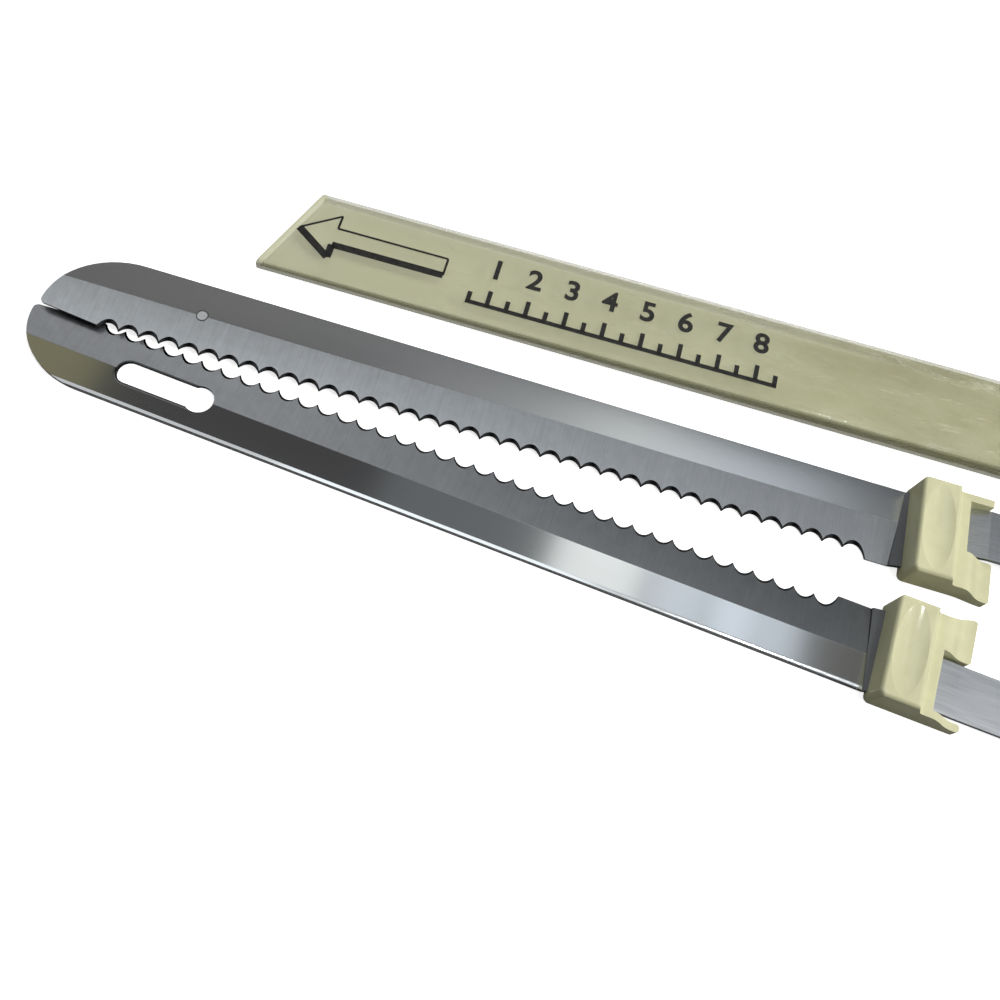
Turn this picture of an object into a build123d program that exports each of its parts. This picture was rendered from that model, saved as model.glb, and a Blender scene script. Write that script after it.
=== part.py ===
from build123d import *
import os
from math import atan2, cos, degrees, hypot, pi, radians, sin

os.makedirs("parts", exist_ok=True)

# Small working allowances
running_gap = 0.04
sliding_gap = 0.3
cut_overrun = 1.0

# Blades: stamped steel, ground on the outer face, scalloped along the edge
blade_length = 217.5
blade_width = 18.9
blade_thickness = 1.2
edge_thickness = 0.5
ground_width = 10.2
scallop_pitch = 5.08
scallop_radius = 3.5
scallop_depth = 1.6
scallop_lean = 52.0
upper_last_scallop = 11.5
lower_last_scallop = upper_last_scallop + scallop_pitch / 2
plain_tip_length = 11.5
tip_round_length = 20.0
tip_corner_round = 1.2
trim_edge_rise = 1.7
heel_drop = 1.5

# Bent neck in front of each guard, and the tang behind it
neck_at_spine = 0.8
neck_at_edge = 2.7
neck_rise = 1.3
neck_in_guard = 1.0
tang_width = 12.9
upper_tang_low = 6.1
lower_tang_low = 4.8
tang_length = 62.0
upper_tang_rise = 1.5
lower_tang_drop = 0.9
tang_bend_start = 0.9
tang_bend_length = 5.4
tang_hole_radius = 2.0
tang_hole_inset = 8.0
tang_corner = 2.0

# Keyhole in the lower blade and the stud that rides in it
stud_from_tip = 38.1
stud_rivet_radius = 1.5
stud_neck_radius = 2.6
stud_neck_height = 1.3
stud_head_radius = 3.2
stud_head_height = 0.5
keyhole_round_radius = 3.6
keyhole_round_from_tip = 47.8
keyhole_slot_width = 6.0
keyhole_slot_from_tip = 26.6
stud_from_guard = blade_length - stud_from_tip

# Guards: moulded thumb rests round the bent neck
guard_length = 21.5
guard_edge_side = 4.2
guard_spine_side = 20.9
pad_height = 9.0
pad_length = 9.6
pad_draft = 0.3
pad_back_length = 1.3
pad_edge_round = 0.9
pad_foot_round = 1.1
dish_depth = 0.8
dish_width = 8.0
dish_length = 22.6
shelf_height = 6.0
shelf_length = 2.2
wing_drop_length = 7.0
wing_height = 2.9
arm_thickness = 1.9
upper_arm_length = 19.4
lower_arm_length = 21.5
notch_from_front = 13.6
notch_play = 0.6
upper_wing_flare = 0.7
lower_wing_flare = 2.7
guard_corner_round = 1.4

# How the blades and the sheath lie on the table
lower_guard_x = 100.0
upper_guard_x = 101.1
upper_guard_y = 24.62
upper_blade_turn = 4.9
sheath_x = -73.5
sheath_y = 38.7
sheath_turn = 5.33

# Sheath: clear flat sleeve, thinner toward the blade tips, cut on the slant
sheath_length = 242.0
sheath_width = 25.8
sheath_wall = 0.8
sheath_tip_height = 3.8
sheath_mouth_height = 6.6
sheath_slant = 9.7
sheath_edge_round = 1.3

# Handle: its nose front is at handle_x, it stands on the table
handle_x = 205.0
handle_y = 14.0
handle_half_width = 26.0
housing_wall = 2.4
housing_round = 8.0
nose_top = 40.0
nose_slope_length = 58.0
tail_drop = 14.0
tail_slope_length = 44.0
profile_round = 9.0
parting_depth = 0.4
parting_width = 0.5

# Drive: motor shaft with a worm, worm wheel with two crank pins
motor_axis_z = 40.0
wheel_x = 76.0
wheel_pitch_radius = 14.5
worm_pitch_radius = 4.5
wheel_teeth = 30
wheel_addendum = 0.7
tooth_share = 0.33
wheel_width = 6.0
journal_radius = 9.0
crank_radius = 5.0
crank_pin_radius = 2.0
crank_pin_length = 0.5
worm_length = 22.0
shaft_radius = 2.5
shaft_nose = 7.0
shaft_inset = 1.0
wheel_axis_z = motor_axis_z - wheel_pitch_radius - worm_pitch_radius
gear_pitch = 2 * pi * wheel_pitch_radius / wheel_teeth

# Gear frame: two bearing plates on a foot, and a bridge that guides the carriers
frame_plate_thickness = 3.0
frame_plate_half_length = 13.0
frame_foot_thickness = 2.0
frame_rim = 3.5
bridge_x = 36.0
bridge_thickness = 5.0
bridge_half_width = 12.0
bridge_height = 34.0

# Blade carriers: sliding bars with a tang socket in front and a yoke behind
socket_front = 8.0
socket_length = 18.0
socket_inner_y = 0.8
socket_outer_y = 5.0
socket_height = 15.4
socket_slot_depth = 14.0
socket_slot_play = 0.3
rod_inner_y = 2.4
rod_height = 10.0
rod_end_x = 54.0
web_length = 3.0
yoke_thickness = 3.0
yoke_half_length = 6.5
yoke_half_height = 12.0

# Motor
core_gap = 14.0
core_length = 30.0
core_width = 40.0
core_height = 38.0
core_window_radius = 17.0
pole_bore_radius = 11.6
pole_half_angle = 62.0
pole_neck_width = 11.6
armature_radius = 11.0
armature_slots = 12
armature_slot_width = 2.2
armature_slot_depth = 5.0
winding_overhang = 6.0
winding_radius = 9.6
coil_overhang = 5.0
coil_inner_radius = 13.0
coil_outer_radius = 16.4
coil_half_angle = 55.0
commutator_gap = 14.0
commutator_length = 10.0
commutator_radius = 6.5
brush_width = 5.0
brush_length = 9.0
brush_holder_wall = 1.2
brush_holder_length = 15.0
fan_gap = 16.0
fan_length = 8.0
fan_radius = 16.0
fan_hub_radius = 6.0
fan_plate = 1.6
fan_blades = 8
fan_blade_thickness = 1.4
front_bearing_gap = 11.0
back_bearing_gap = 14.0
tail_room = 14.0
bearing_length = 6.0
bearing_radius = 6.0
rib_thickness = 3.0

# Places along the shaft, each counted from the one before it, and the length that they give the handle
shaft_front = wheel_x - worm_length / 2 - shaft_nose
front_bearing_x = wheel_x + worm_length / 2 + front_bearing_gap
core_x = front_bearing_x + bearing_length + core_gap
commutator_x = core_x + core_length + commutator_gap
fan_x = commutator_x + fan_gap
back_bearing_x = fan_x + back_bearing_gap
shaft_back = back_bearing_x + bearing_length - shaft_inset
handle_length = back_bearing_x + bearing_length + tail_room

# Switch and trigger
trigger_offset = 3.0
trigger_length = 26.0
trigger_width = 12.0
trigger_travel = 3.0
trigger_stand = 5.0
trigger_round = 2.4
trigger_grooves = 5
trigger_groove_radius = 0.7
trigger_groove_pitch = 2.8
flange_margin = 2.0
flange_thickness = 1.8
switch_length = 22.0
switch_width = 14.0
switch_height = 8.5
plunger_radius = 2.0
plunger_in_switch = 4.4
trigger_spring_radius = 3.9
spring_wire = 0.7
switch_shelf = 2.1
trigger_x = wheel_x + trigger_offset

# The switch stands over the worm and the trigger over the switch, which gives the handle its height
worm_top = motor_axis_z + worm_pitch_radius + wheel_addendum
switch_rib_low = worm_top + 2 * sliding_gap
switch_low = switch_rib_low + switch_shelf
switch_high = switch_low + switch_height
flange_low = switch_high + flange_thickness + trigger_travel + 2 * sliding_gap
ceiling_z = flange_low + flange_thickness
handle_height = ceiling_z + housing_wall

# Release buttons on both sides of the nose
button_x = 18.0
button_radius = 5.5
button_stand = 2.6
button_flange_margin = 1.6
button_stem_radius = 2.4
button_stem_end = 8.8
button_guide_y = 12.0
button_guide_thickness = 1.6
button_guide_half_length = 9.0
release_spring_length = 4.2
release_spring_radius = 3.7

# Nose bezel, mains inlet, screws and vents
bezel_half_width = 9.0
bezel_half_height = 11.0
bezel_depth = 5.0
bezel_lip = 1.6
bezel_window_half_width = 5.6
bezel_window_half_height = 8.2
inlet_width = 22.0
inlet_height = 14.0
inlet_depth = 15.0
inlet_wall = 1.6
inlet_pin_radius = 1.6
inlet_pin_spacing = 11.0
inlet_pin_length = 12.0
screw_places_share = ((0.19, 0.70), (0.49, 0.14), (0.88, 0.14), (0.955, 0.62))
boss_radius = 4.0
screw_radius = 1.4
screw_head_radius = 2.9
screw_head_height = 2.2
screw_head_sink = 6.0
screw_reach = 11.0
vent_count = 5
vent_length = 16.0
vent_width = 2.4
vent_pitch = 5.4
vent_z = 38.0


def write(piece, name):
    """Label a finished piece and write it under its own name."""
    piece.part.label = name
    export_step(piece.part, f"parts/{name}.step")


def scallop_count(last_scallop):
    """How many scallops the edge has room for between the guard and the plain tip."""
    return int((blade_length - plain_tip_length - last_scallop) / scallop_pitch)


def scallop_places(last_scallop):
    """Centres of the scallops along the edge, counted from the guard."""
    centre_y = scallop_depth - scallop_radius / cos(radians(scallop_lean))
    return [
        (-last_scallop - scallop_pitch * turn, centre_y) for turn in range(scallop_count(last_scallop))
    ]


def bent_strip(path, strip_width, low_y):
    """A strip of blade steel whose underside follows the path in X and Z."""
    top = [(x, z + blade_thickness) for x, z in reversed(path)]
    with BuildPart() as strip:
        with BuildSketch(Plane.XZ):
            with BuildLine():
                Polyline(*path, *top, close=True)
            make_face()
        extrude(amount=-strip_width)
    return Pos(0, low_y, 0) * strip.part


def blade(last_scallop, tang_low, tang_level):
    """One blade lying on its inner face, guard front at X 0, tip toward -X, spine at +Y."""
    first_tip_x = scallop_pitch / 2 - last_scallop - scallop_pitch * scallop_count(last_scallop)
    tip_x = -blade_length
    tip_centre_x = tip_x + tip_round_length
    tip_round_height = blade_width - trim_edge_rise
    neck_turn = atan2(blade_width + heel_drop, neck_at_edge - neck_at_spine)
    neck_span = hypot(blade_width + heel_drop, neck_at_edge - neck_at_spine)
    grind_slope = (blade_thickness - edge_thickness) / ground_width
    tang_end_x = guard_length + tang_length
    bend_end_x = notch_from_front + tang_bend_start + tang_bend_length
    tang_path = [
        (neck_in_guard, neck_rise),
        (notch_from_front + tang_bend_start, neck_rise),
        (bend_end_x, tang_level),
        (tang_end_x, tang_level),
    ]
    tang_strip = bent_strip(tang_path, tang_width, tang_low)
    with BuildPart() as steel:
        with BuildSketch():
            with BuildLine():
                Line((-neck_at_spine, blade_width), (tip_centre_x, blade_width))
                EllipticalCenterArc(
                    (tip_centre_x, trim_edge_rise), tip_round_length, tip_round_height, 90, arc_size=90
                )
                Polyline(
                    (tip_x, trim_edge_rise),
                    (first_tip_x, 0),
                    (-last_scallop, 0),
                    (-last_scallop, -heel_drop),
                    (-neck_at_edge, -heel_drop),
                    (-neck_at_spine, blade_width),
                )
            make_face()
        extrude(amount=blade_thickness)
        tip_corner = steel.edges().filter_by(Axis.Z).sort_by(Axis.X)[0]
        fillet(tip_corner, radius=tip_corner_round)
        # the ground band, thinner toward the edge
        far_y = heel_drop + cut_overrun
        with BuildSketch(Plane.YZ.offset(tip_x - cut_overrun)):
            with BuildLine():
                Polyline(
                    (ground_width, blade_thickness),
                    (-far_y, blade_thickness - (ground_width + far_y) * grind_slope),
                    (-far_y, blade_thickness + cut_overrun),
                    (ground_width, blade_thickness + cut_overrun),
                    close=True,
                )
            make_face()
        extrude(amount=blade_length + cut_overrun, mode=Mode.SUBTRACT)
        # the scallops, ground at a slant so that they reach further in on the outer face
        slant = (-scallop_lean, 0, 0)
        with Locations(*[(x, y, 0) for x, y in scallop_places(last_scallop)]):
            Cylinder(scallop_radius, 4 * scallop_radius, rotation=slant, mode=Mode.SUBTRACT)
        # the neck, bent up into the guard
        neck_middle = (-(neck_at_spine + neck_at_edge) / 2, (blade_width - heel_drop) / 2, 0)
        neck_start = Plane(
            origin=neck_middle,
            x_dir=(cos(neck_turn), sin(neck_turn), 0),
            z_dir=(sin(neck_turn), -cos(neck_turn), 0),
        )
        neck_end = Plane(
            origin=(neck_in_guard, (blade_width - heel_drop) / 2, neck_rise),
            x_dir=(0, 1, 0),
            z_dir=(1, 0, 0),
        )
        with BuildSketch(neck_start):
            Rectangle(neck_span, blade_thickness, align=(Align.CENTER, Align.MIN))
        with BuildSketch(neck_end):
            Rectangle(blade_width + heel_drop, blade_thickness, align=(Align.CENTER, Align.MIN))
        loft(ruled=True)
        # the plate inside the guard, then the tang with its catch hole
        add(bent_strip([(neck_in_guard, neck_rise), (pad_length, neck_rise)], blade_width, 0))
        add(tang_strip)
        with Locations((tang_end_x - tang_hole_inset, tang_low + tang_width / 2, tang_level)):
            Cylinder(tang_hole_radius, 4 * blade_thickness, mode=Mode.SUBTRACT)
        tang_corners = steel.edges().filter_by(Axis.Z).group_by(Axis.X)[-1]
        chamfer(tang_corners, length=tang_corner)
    return steel.part


def keyhole():
    """Cutter for the slot with a round end, at the lower blade's own place."""
    slot_radius = keyhole_slot_width / 2
    slot_length = keyhole_round_from_tip - keyhole_slot_from_tip - slot_radius
    round_x = keyhole_round_from_tip - blade_length
    with BuildPart() as cutter:
        with BuildSketch(Plane.XY.offset(-cut_overrun)):
            with Locations((round_x, ground_width)):
                Circle(keyhole_round_radius)
            with Locations((round_x - slot_length / 2, ground_width)):
                SlotCenterToCenter(slot_length, keyhole_slot_width)
        extrude(amount=blade_thickness + 2 * cut_overrun)
    return cutter.part


def guard(steel, tang_low, arm_length, arm_height, wing_flare):
    """One moulded guard round the neck of the given blade."""
    shelf_start = pad_length + pad_back_length
    drop_start = shelf_start + shelf_length
    drop_end = drop_start + wing_drop_length
    notch_low = tang_low - notch_play
    arm_low = guard_spine_side - arm_thickness
    with BuildPart() as moulding:
        with BuildSketch():
            with BuildLine():
                Line((0, guard_spine_side), (0, -guard_edge_side))
                Line((0, -guard_edge_side), (drop_start, -guard_edge_side))
                flare_end = (guard_length, -guard_edge_side - wing_flare)
                Spline((drop_start, -guard_edge_side), flare_end, tangents=((1, 0), (1, 0)))
                Polyline(
                    flare_end,
                    (guard_length, notch_low),
                    (notch_from_front, notch_low),
                    (notch_from_front, arm_low),
                    (arm_length, arm_low),
                    (arm_length, guard_spine_side),
                    (0, guard_spine_side),
                )
            make_face()
        extrude(amount=pad_height)
        with BuildSketch(Plane.XZ):
            with BuildLine():
                Polyline(
                    (guard_length, wing_height),
                    (guard_length, 0),
                    (0, 0),
                    (pad_draft, pad_height),
                    (pad_length, pad_height),
                    (shelf_start, shelf_height),
                    (drop_start, shelf_height),
                )
                Spline(
                    (drop_start, shelf_height),
                    (drop_end, wing_height),
                    tangents=((1, 0), (1, 0)),
                )
                Line((drop_end, wing_height), (guard_length, wing_height))
            make_face()
        extrude(amount=2 * guard_spine_side, both=True, mode=Mode.INTERSECT)
        # the arm beside the tang
        with BuildSketch():
            with BuildLine():
                Polyline(
                    (drop_start, arm_low),
                    (arm_length, arm_low),
                    (arm_length, guard_spine_side),
                    (drop_start, guard_spine_side),
                    close=True,
                )
            make_face()
        extrude(amount=arm_height)
        upright = moulding.edges().filter_by(Axis.Z).group_by(Axis.X)
        fillet(upright[-1], radius=guard_corner_round / 2)
        front_corners = moulding.faces().sort_by(Axis.X)[0].edges().filter_by(Plane.XZ)
        fillet(front_corners, radius=guard_corner_round)
        top_face = moulding.faces().sort_by(Axis.Z)[-1]
        fillet(top_face.edges(), radius=pad_edge_round)
        across = moulding.edges().filter_by(Axis.Y)
        pad_foot = across.sort_by(lambda edge: abs(edge.center().X - shelf_start))[0]
        fillet(pad_foot, radius=pad_foot_round)
        # the oval dish for the thumb
        dish_radius = (dish_width ** 2 / 4 + dish_depth ** 2) / (2 * dish_depth)
        dish_axis_z = pad_height + dish_radius - dish_depth
        dish_x = (pad_draft + pad_length) / 2
        dish_y = (guard_spine_side - guard_edge_side) / 2
        with BuildSketch(Plane.YZ.offset(dish_x)):
            with BuildLine():
                ThreePointArc(
                    (dish_y - dish_length / 2, pad_height),
                    (dish_y, pad_height - dish_depth),
                    (dish_y + dish_length / 2, pad_height),
                )
                Polyline(
                    (dish_y + dish_length / 2, pad_height),
                    (dish_y + dish_length / 2, dish_axis_z),
                    (dish_y - dish_length / 2, dish_axis_z),
                    (dish_y - dish_length / 2, pad_height),
                )
            make_face()
        dish_axis = Axis((dish_x, dish_y, dish_axis_z), (0, 1, 0))
        revolve(axis=dish_axis, mode=Mode.SUBTRACT)
        add(steel, mode=Mode.SUBTRACT)
    return moulding.part


def guide_stud():
    """Stud riveted through the upper blade: neck and head stand below the inner face."""
    with BuildPart() as stud:
        with BuildSketch(Plane.XZ):
            with BuildLine():
                Polyline(
                    (0, blade_thickness),
                    (stud_rivet_radius, blade_thickness),
                    (stud_rivet_radius, 0),
                    (stud_neck_radius, 0),
                    (stud_neck_radius, -stud_neck_height),
                    (stud_head_radius, -stud_neck_height),
                    (stud_head_radius, -stud_neck_height - stud_head_height),
                    (0, -stud_neck_height - stud_head_height),
                    close=True,
                )
            make_face()
        revolve(axis=Axis.Z)
    return Pos(-stud_from_guard, ground_width, 0) * stud.part


# The lower blade lies flat, edge toward +Y; the upper one leans on its stud and guard
stud_drop = stud_neck_height + stud_head_height
lean = degrees(atan2(stud_drop, stud_from_guard + guard_length))
middle_y = blade_width / 2
lower_place = Pos(lower_guard_x, middle_y, 0)
upper_place = (
    Pos(upper_guard_x, upper_guard_y, 0)
    * Rot(0, 0, upper_blade_turn)
    * Pos(guard_length, 0, 0)
    * Rot(0, lean, 0)
    * Pos(-guard_length, 0, 0)
)

upper_steel = blade(upper_last_scallop, upper_tang_low, neck_rise + upper_tang_rise)
stud_solid = guide_stud()
with BuildPart() as upper_blade:
    add(upper_steel)
    with Locations((-stud_from_guard, ground_width, 0)):
        Cylinder(stud_rivet_radius, 4 * blade_thickness, mode=Mode.SUBTRACT)
upper_moulding = guard(upper_steel, upper_tang_low, upper_arm_length, shelf_height, upper_wing_flare)

lower_steel = blade(lower_last_scallop, lower_tang_low, lower_tang_drop)
with BuildPart() as lower_blade:
    add(lower_steel)
    add(keyhole(), mode=Mode.SUBTRACT)
lower_moulding = guard(lower_steel, lower_tang_low, lower_arm_length, wing_height, lower_wing_flare)

lower_blade_mirrored = mirror(lower_blade.part, about=Plane.XZ)
lower_moulding_mirrored = mirror(lower_moulding, about=Plane.XZ)
with BuildPart() as placed_upper_blade:
    add(upper_place * upper_blade.part)
with BuildPart() as placed_stud:
    add(upper_place * stud_solid)
with BuildPart() as placed_upper_guard:
    add(upper_place * upper_moulding)
with BuildPart() as placed_lower_blade:
    add(lower_place * lower_blade_mirrored)
with BuildPart() as placed_lower_guard:
    add(lower_place * lower_moulding_mirrored)
write(placed_upper_blade, "upper_blade")
write(placed_stud, "guide_stud")
write(placed_upper_guard, "upper_guard")
write(placed_lower_blade, "lower_blade")
write(placed_lower_guard, "lower_guard")


# Sheath
def sheath_block(inset):
    """Wedge-shaped block of the sheath, drawn in by the inset on its long sides."""
    with BuildPart() as block:
        with BuildSketch(Plane.XZ):
            with BuildLine():
                Polyline(
                    (0, inset),
                    (sheath_length, inset),
                    (sheath_length, sheath_mouth_height - inset),
                    (0, sheath_tip_height - inset),
                    close=True,
                )
            make_face()
        extrude(amount=-(sheath_width - 2 * inset))
        long_edges = block.edges().filter_by(lambda edge: edge.length > sheath_length / 2)
        fillet(long_edges, radius=sheath_edge_round - inset)
    return Pos(0, inset, 0) * block.part


with BuildPart() as sleeve:
    add(sheath_block(0))
    add(sheath_block(sheath_wall), mode=Mode.SUBTRACT)
    with BuildSketch():
        with BuildLine():
            Polyline(
                (-cut_overrun, -cut_overrun),
                (0, -cut_overrun),
                (0, 0),
                (sheath_slant, sheath_width),
                (sheath_slant, sheath_width + cut_overrun),
                (-cut_overrun, sheath_width + cut_overrun),
                close=True,
            )
        make_face()
    extrude(amount=sheath_mouth_height, mode=Mode.SUBTRACT)
sheath_place = Pos(sheath_x, sheath_y, 0) * Rot(0, 0, sheath_turn)
with BuildPart() as blade_sheath:
    add(sheath_place * sleeve.part)
write(blade_sheath, "blade_sheath")

# Handle pieces are drawn from the nose front, X toward the tail, and placed as one set
handle_place = Pos(handle_x, handle_y, 0)


def write_in_handle(piece, name):
    """Move a handle piece to where the handle stands and write it."""
    with BuildPart() as placed:
        add(handle_place * piece.part)
    write(placed, name)


def handle_block(inset):
    """The handle's outer form, drawn in by the inset on every side."""
    with BuildPart() as block:
        with BuildSketch(Plane.XZ) as side:
            with BuildLine():
                Polyline(
                    (inset, inset),
                    (handle_length - inset, inset),
                    (handle_length - inset, handle_height - tail_drop - inset),
                    (handle_length - tail_slope_length, handle_height - inset),
                    (nose_slope_length, handle_height - inset),
                    (inset, nose_top - inset),
                    close=True,
                )
            make_face()
            fillet(side.vertices(), radius=profile_round - inset)
        extrude(amount=handle_half_width - inset, both=True)
        rims = block.faces().filter_by(Axis.Y).edges()
        fillet(rims, radius=housing_round - inset)
    return block.part


def span_box(x_span, y_span, z_span):
    """A box between the given limits on each axis."""
    size = [high - low for low, high in (x_span, y_span, z_span)]
    middle = [(high + low) / 2 for low, high in (x_span, y_span, z_span)]
    return Pos(*middle) * Box(*size, mode=Mode.PRIVATE)


def round_bar(radius, start, end, axis_name):
    """A cylinder between two points that differ along one axis only."""
    turns = {"x": Rot(0, 90, 0), "y": Rot(-90, 0, 0), "z": Rot(0, 0, 0)}
    length = sum(b - a for a, b in zip(start, end))
    foot = (Align.CENTER, Align.CENTER, Align.MIN)
    bar = Cylinder(radius, length, align=foot, mode=Mode.PRIVATE)
    return Pos(*start) * turns[axis_name] * bar


outer_block = handle_block(0)
inner_block = handle_block(housing_wall)
parting_slab = span_box(
    (-cut_overrun, handle_length + cut_overrun),
    (-parting_width / 2, parting_width / 2),
    (-cut_overrun, handle_height + cut_overrun),
)
parting_groove = (outer_block - handle_block(parting_depth)) & parting_slab
inner_half_width = handle_half_width - housing_wall
floor_z = housing_wall
whole_width = (-handle_half_width, handle_half_width)
screw_places = [
    (along * handle_length, up * handle_height) for along, up in screw_places_share
]
front_rib_x = front_bearing_x + (bearing_length - rib_thickness) / 2
back_rib_x = back_bearing_x + (bearing_length - rib_thickness) / 2
core_rib_places = (core_x + rib_thickness, core_x + core_length - 2 * rib_thickness)
switch_front = trigger_x - switch_length / 2
switch_back = trigger_x + switch_length / 2
brush_block_half_length = brush_width + brush_holder_wall
brush_outer_half = brush_width / 2 + brush_holder_wall
holder_inner_y = commutator_radius + brush_holder_wall
holder_outer_y = holder_inner_y + brush_holder_length
sleeve_half_width = bezel_half_width - bezel_lip
sleeve_half_height = bezel_half_height - bezel_lip


def cross_rib(x_start, thickness, z_span):
    """A wall across the handle, cut to the inside of the housing."""
    slab = span_box((x_start, x_start + thickness), whole_width, z_span)
    return inner_block & slab


def housing_half(side):
    """One half of the housing: side 1 is +Y and holds the screw ends, -1 the heads."""
    full_height = (-cut_overrun, handle_height + cut_overrun)
    half_reach = side * (handle_half_width + cut_overrun)
    half_room = span_box(
        (-cut_overrun, handle_length + cut_overrun),
        (min(0, half_reach), max(0, half_reach)),
        full_height,
    )
    ledge_reach = rib_thickness / 2
    whole_ribs = (front_rib_x, back_rib_x, *core_rib_places)
    ribs = [cross_rib(place, rib_thickness, full_height) for place in whole_ribs]
    for place in (switch_front - rib_thickness, switch_back):
        ribs.append(cross_rib(place, rib_thickness, (switch_rib_low, switch_high)))
    for place in (switch_front, switch_back - ledge_reach):
        ribs.append(cross_rib(place, ledge_reach, (switch_rib_low, switch_low)))
    guide_span = (side * button_guide_y, side * (button_guide_y + button_guide_thickness))
    guide = inner_block & span_box(
        (button_x - button_guide_half_length, button_x + button_guide_half_length),
        (min(guide_span), max(guide_span)),
        full_height,
    )
    brush_span = (side * (holder_outer_y - brush_width), side * handle_half_width)
    brush_block = inner_block & span_box(
        (commutator_x - brush_block_half_length, commutator_x + brush_block_half_length),
        (min(brush_span), max(brush_span)),
        (motor_axis_z - brush_block_half_length, motor_axis_z + brush_block_half_length),
    )
    bosses = [
        inner_block & round_bar(boss_radius, (x, -handle_half_width, z), (x, handle_half_width, z), "y")
        for x, z in screw_places
    ]
    with BuildPart() as half:
        add(outer_block)
        add(inner_block, mode=Mode.SUBTRACT)
        add(parting_groove, mode=Mode.SUBTRACT)
        for piece in [*ribs, guide, brush_block, *bosses]:
            add(piece)
        # seats for the bearings, the field core and the brush holders
        for place in (front_rib_x, back_rib_x):
            seat_start = (place - cut_overrun, 0, motor_axis_z)
            seat_end = (place + rib_thickness + cut_overrun, 0, motor_axis_z)
            add(round_bar(bearing_radius, seat_start, seat_end, "x"), mode=Mode.SUBTRACT)
        core_seat = span_box(
            (core_x, core_x + core_length),
            (-core_width / 2, core_width / 2),
            (motor_axis_z - core_height / 2, motor_axis_z + core_height / 2),
        )
        add(core_seat, mode=Mode.SUBTRACT)
        holder_seat = span_box(
            (commutator_x - brush_outer_half, commutator_x + brush_outer_half),
            (-holder_outer_y, holder_outer_y),
            (motor_axis_z - brush_outer_half, motor_axis_z + brush_outer_half),
        )
        add(holder_seat, mode=Mode.SUBTRACT)
        # openings: nose, trigger, tail inlet, release button and vents
        nose_opening = span_box(
            (-cut_overrun, bezel_depth + cut_overrun),
            (-sleeve_half_width, sleeve_half_width),
            (wheel_axis_z - sleeve_half_height, wheel_axis_z + sleeve_half_height),
        )
        add(nose_opening, mode=Mode.SUBTRACT)
        trigger_opening = span_box(
            (trigger_x - trigger_length / 2 - sliding_gap, trigger_x + trigger_length / 2 + sliding_gap),
            (-trigger_width / 2 - sliding_gap, trigger_width / 2 + sliding_gap),
            (ceiling_z - cut_overrun, handle_height + cut_overrun),
        )
        add(trigger_opening, mode=Mode.SUBTRACT)
        inlet_opening = span_box(
            (handle_length - inlet_depth, handle_length + cut_overrun),
            (-inlet_width / 2, inlet_width / 2),
            (wheel_axis_z - inlet_height / 2, wheel_axis_z + inlet_height / 2),
        )
        add(inlet_opening, mode=Mode.SUBTRACT)
        button_hole = round_bar(
            button_radius + sliding_gap,
            (button_x, -handle_half_width - cut_overrun, wheel_axis_z),
            (button_x, handle_half_width + cut_overrun, wheel_axis_z),
            "y",
        )
        guide_room = span_box(
            (0, 2 * button_x),
            (-button_guide_y - 2 * button_guide_thickness, button_guide_y + 2 * button_guide_thickness),
            (0, handle_height),
        )
        add(button_hole - guide_room, mode=Mode.SUBTRACT)
        stem_hole = round_bar(
            button_stem_radius + running_gap,
            (button_x, -handle_half_width, wheel_axis_z),
            (button_x, handle_half_width, wheel_axis_z),
            "y",
        )
        add(stem_hole, mode=Mode.SUBTRACT)
        for turn in range(vent_count):
            slot_x = fan_x + (turn - (vent_count - 1) / 2) * vent_pitch
            wall_span = (side * (inner_half_width - sliding_gap), side * (handle_half_width + cut_overrun))
            slot = span_box(
                (slot_x - vent_width / 2, slot_x + vent_width / 2),
                (min(wall_span), max(wall_span)),
                (vent_z - vent_length / 2, vent_z + vent_length / 2),
            )
            add(slot, mode=Mode.SUBTRACT)
        # screw holes through the bosses
        for x, z in screw_places:
            hole = round_bar(
                screw_radius, (x, -handle_half_width - cut_overrun, z), (x, screw_reach, z), "y"
            )
            head_hole = round_bar(
                screw_head_radius + sliding_gap,
                (x, -handle_half_width - cut_overrun, z),
                (x, -handle_half_width + screw_head_sink, z),
                "y",
            )
            add(hole, mode=Mode.SUBTRACT)
            add(head_hole, mode=Mode.SUBTRACT)
        add(half_room, mode=Mode.INTERSECT)
    return half


write_in_handle(housing_half(1), "housing_left")
write_in_handle(housing_half(-1), "housing_right")

with BuildPart() as housing_screws:
    for x, z in screw_places:
        head_back = -handle_half_width + screw_head_sink
        add(round_bar(screw_head_radius, (x, head_back - screw_head_height, z), (x, head_back, z), "y"))
        add(round_bar(screw_radius, (x, head_back, z), (x, screw_reach, z), "y"))
        slot_reach = 2 * screw_head_radius
        cross_slot = span_box(
            (x - slot_reach / 2, x + slot_reach / 2),
            (head_back - screw_head_height, head_back - screw_head_height / 2),
            (z - screw_radius / 4, z + screw_radius / 4),
        )
        add(cross_slot, mode=Mode.SUBTRACT)
write_in_handle(housing_screws, "housing_screws")

with BuildPart() as nose_bezel:
    add(span_box(
        (-bezel_lip, 0),
        (-bezel_half_width, bezel_half_width),
        (wheel_axis_z - bezel_half_height, wheel_axis_z + bezel_half_height),
    ))
    fillet(nose_bezel.edges().filter_by(Axis.X), radius=bezel_lip)
    chamfer(nose_bezel.faces().sort_by(Axis.X)[0].edges(), length=bezel_lip / 3)
    add(span_box(
        (0, bezel_depth),
        (-sleeve_half_width, sleeve_half_width),
        (wheel_axis_z - sleeve_half_height, wheel_axis_z + sleeve_half_height),
    ))
    window = span_box(
        (-bezel_lip - cut_overrun, bezel_depth + cut_overrun),
        (-bezel_window_half_width, bezel_window_half_width),
        (wheel_axis_z - bezel_window_half_height, wheel_axis_z + bezel_window_half_height),
    )
    add(window, mode=Mode.SUBTRACT)
write_in_handle(nose_bezel, "nose_bezel")

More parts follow.
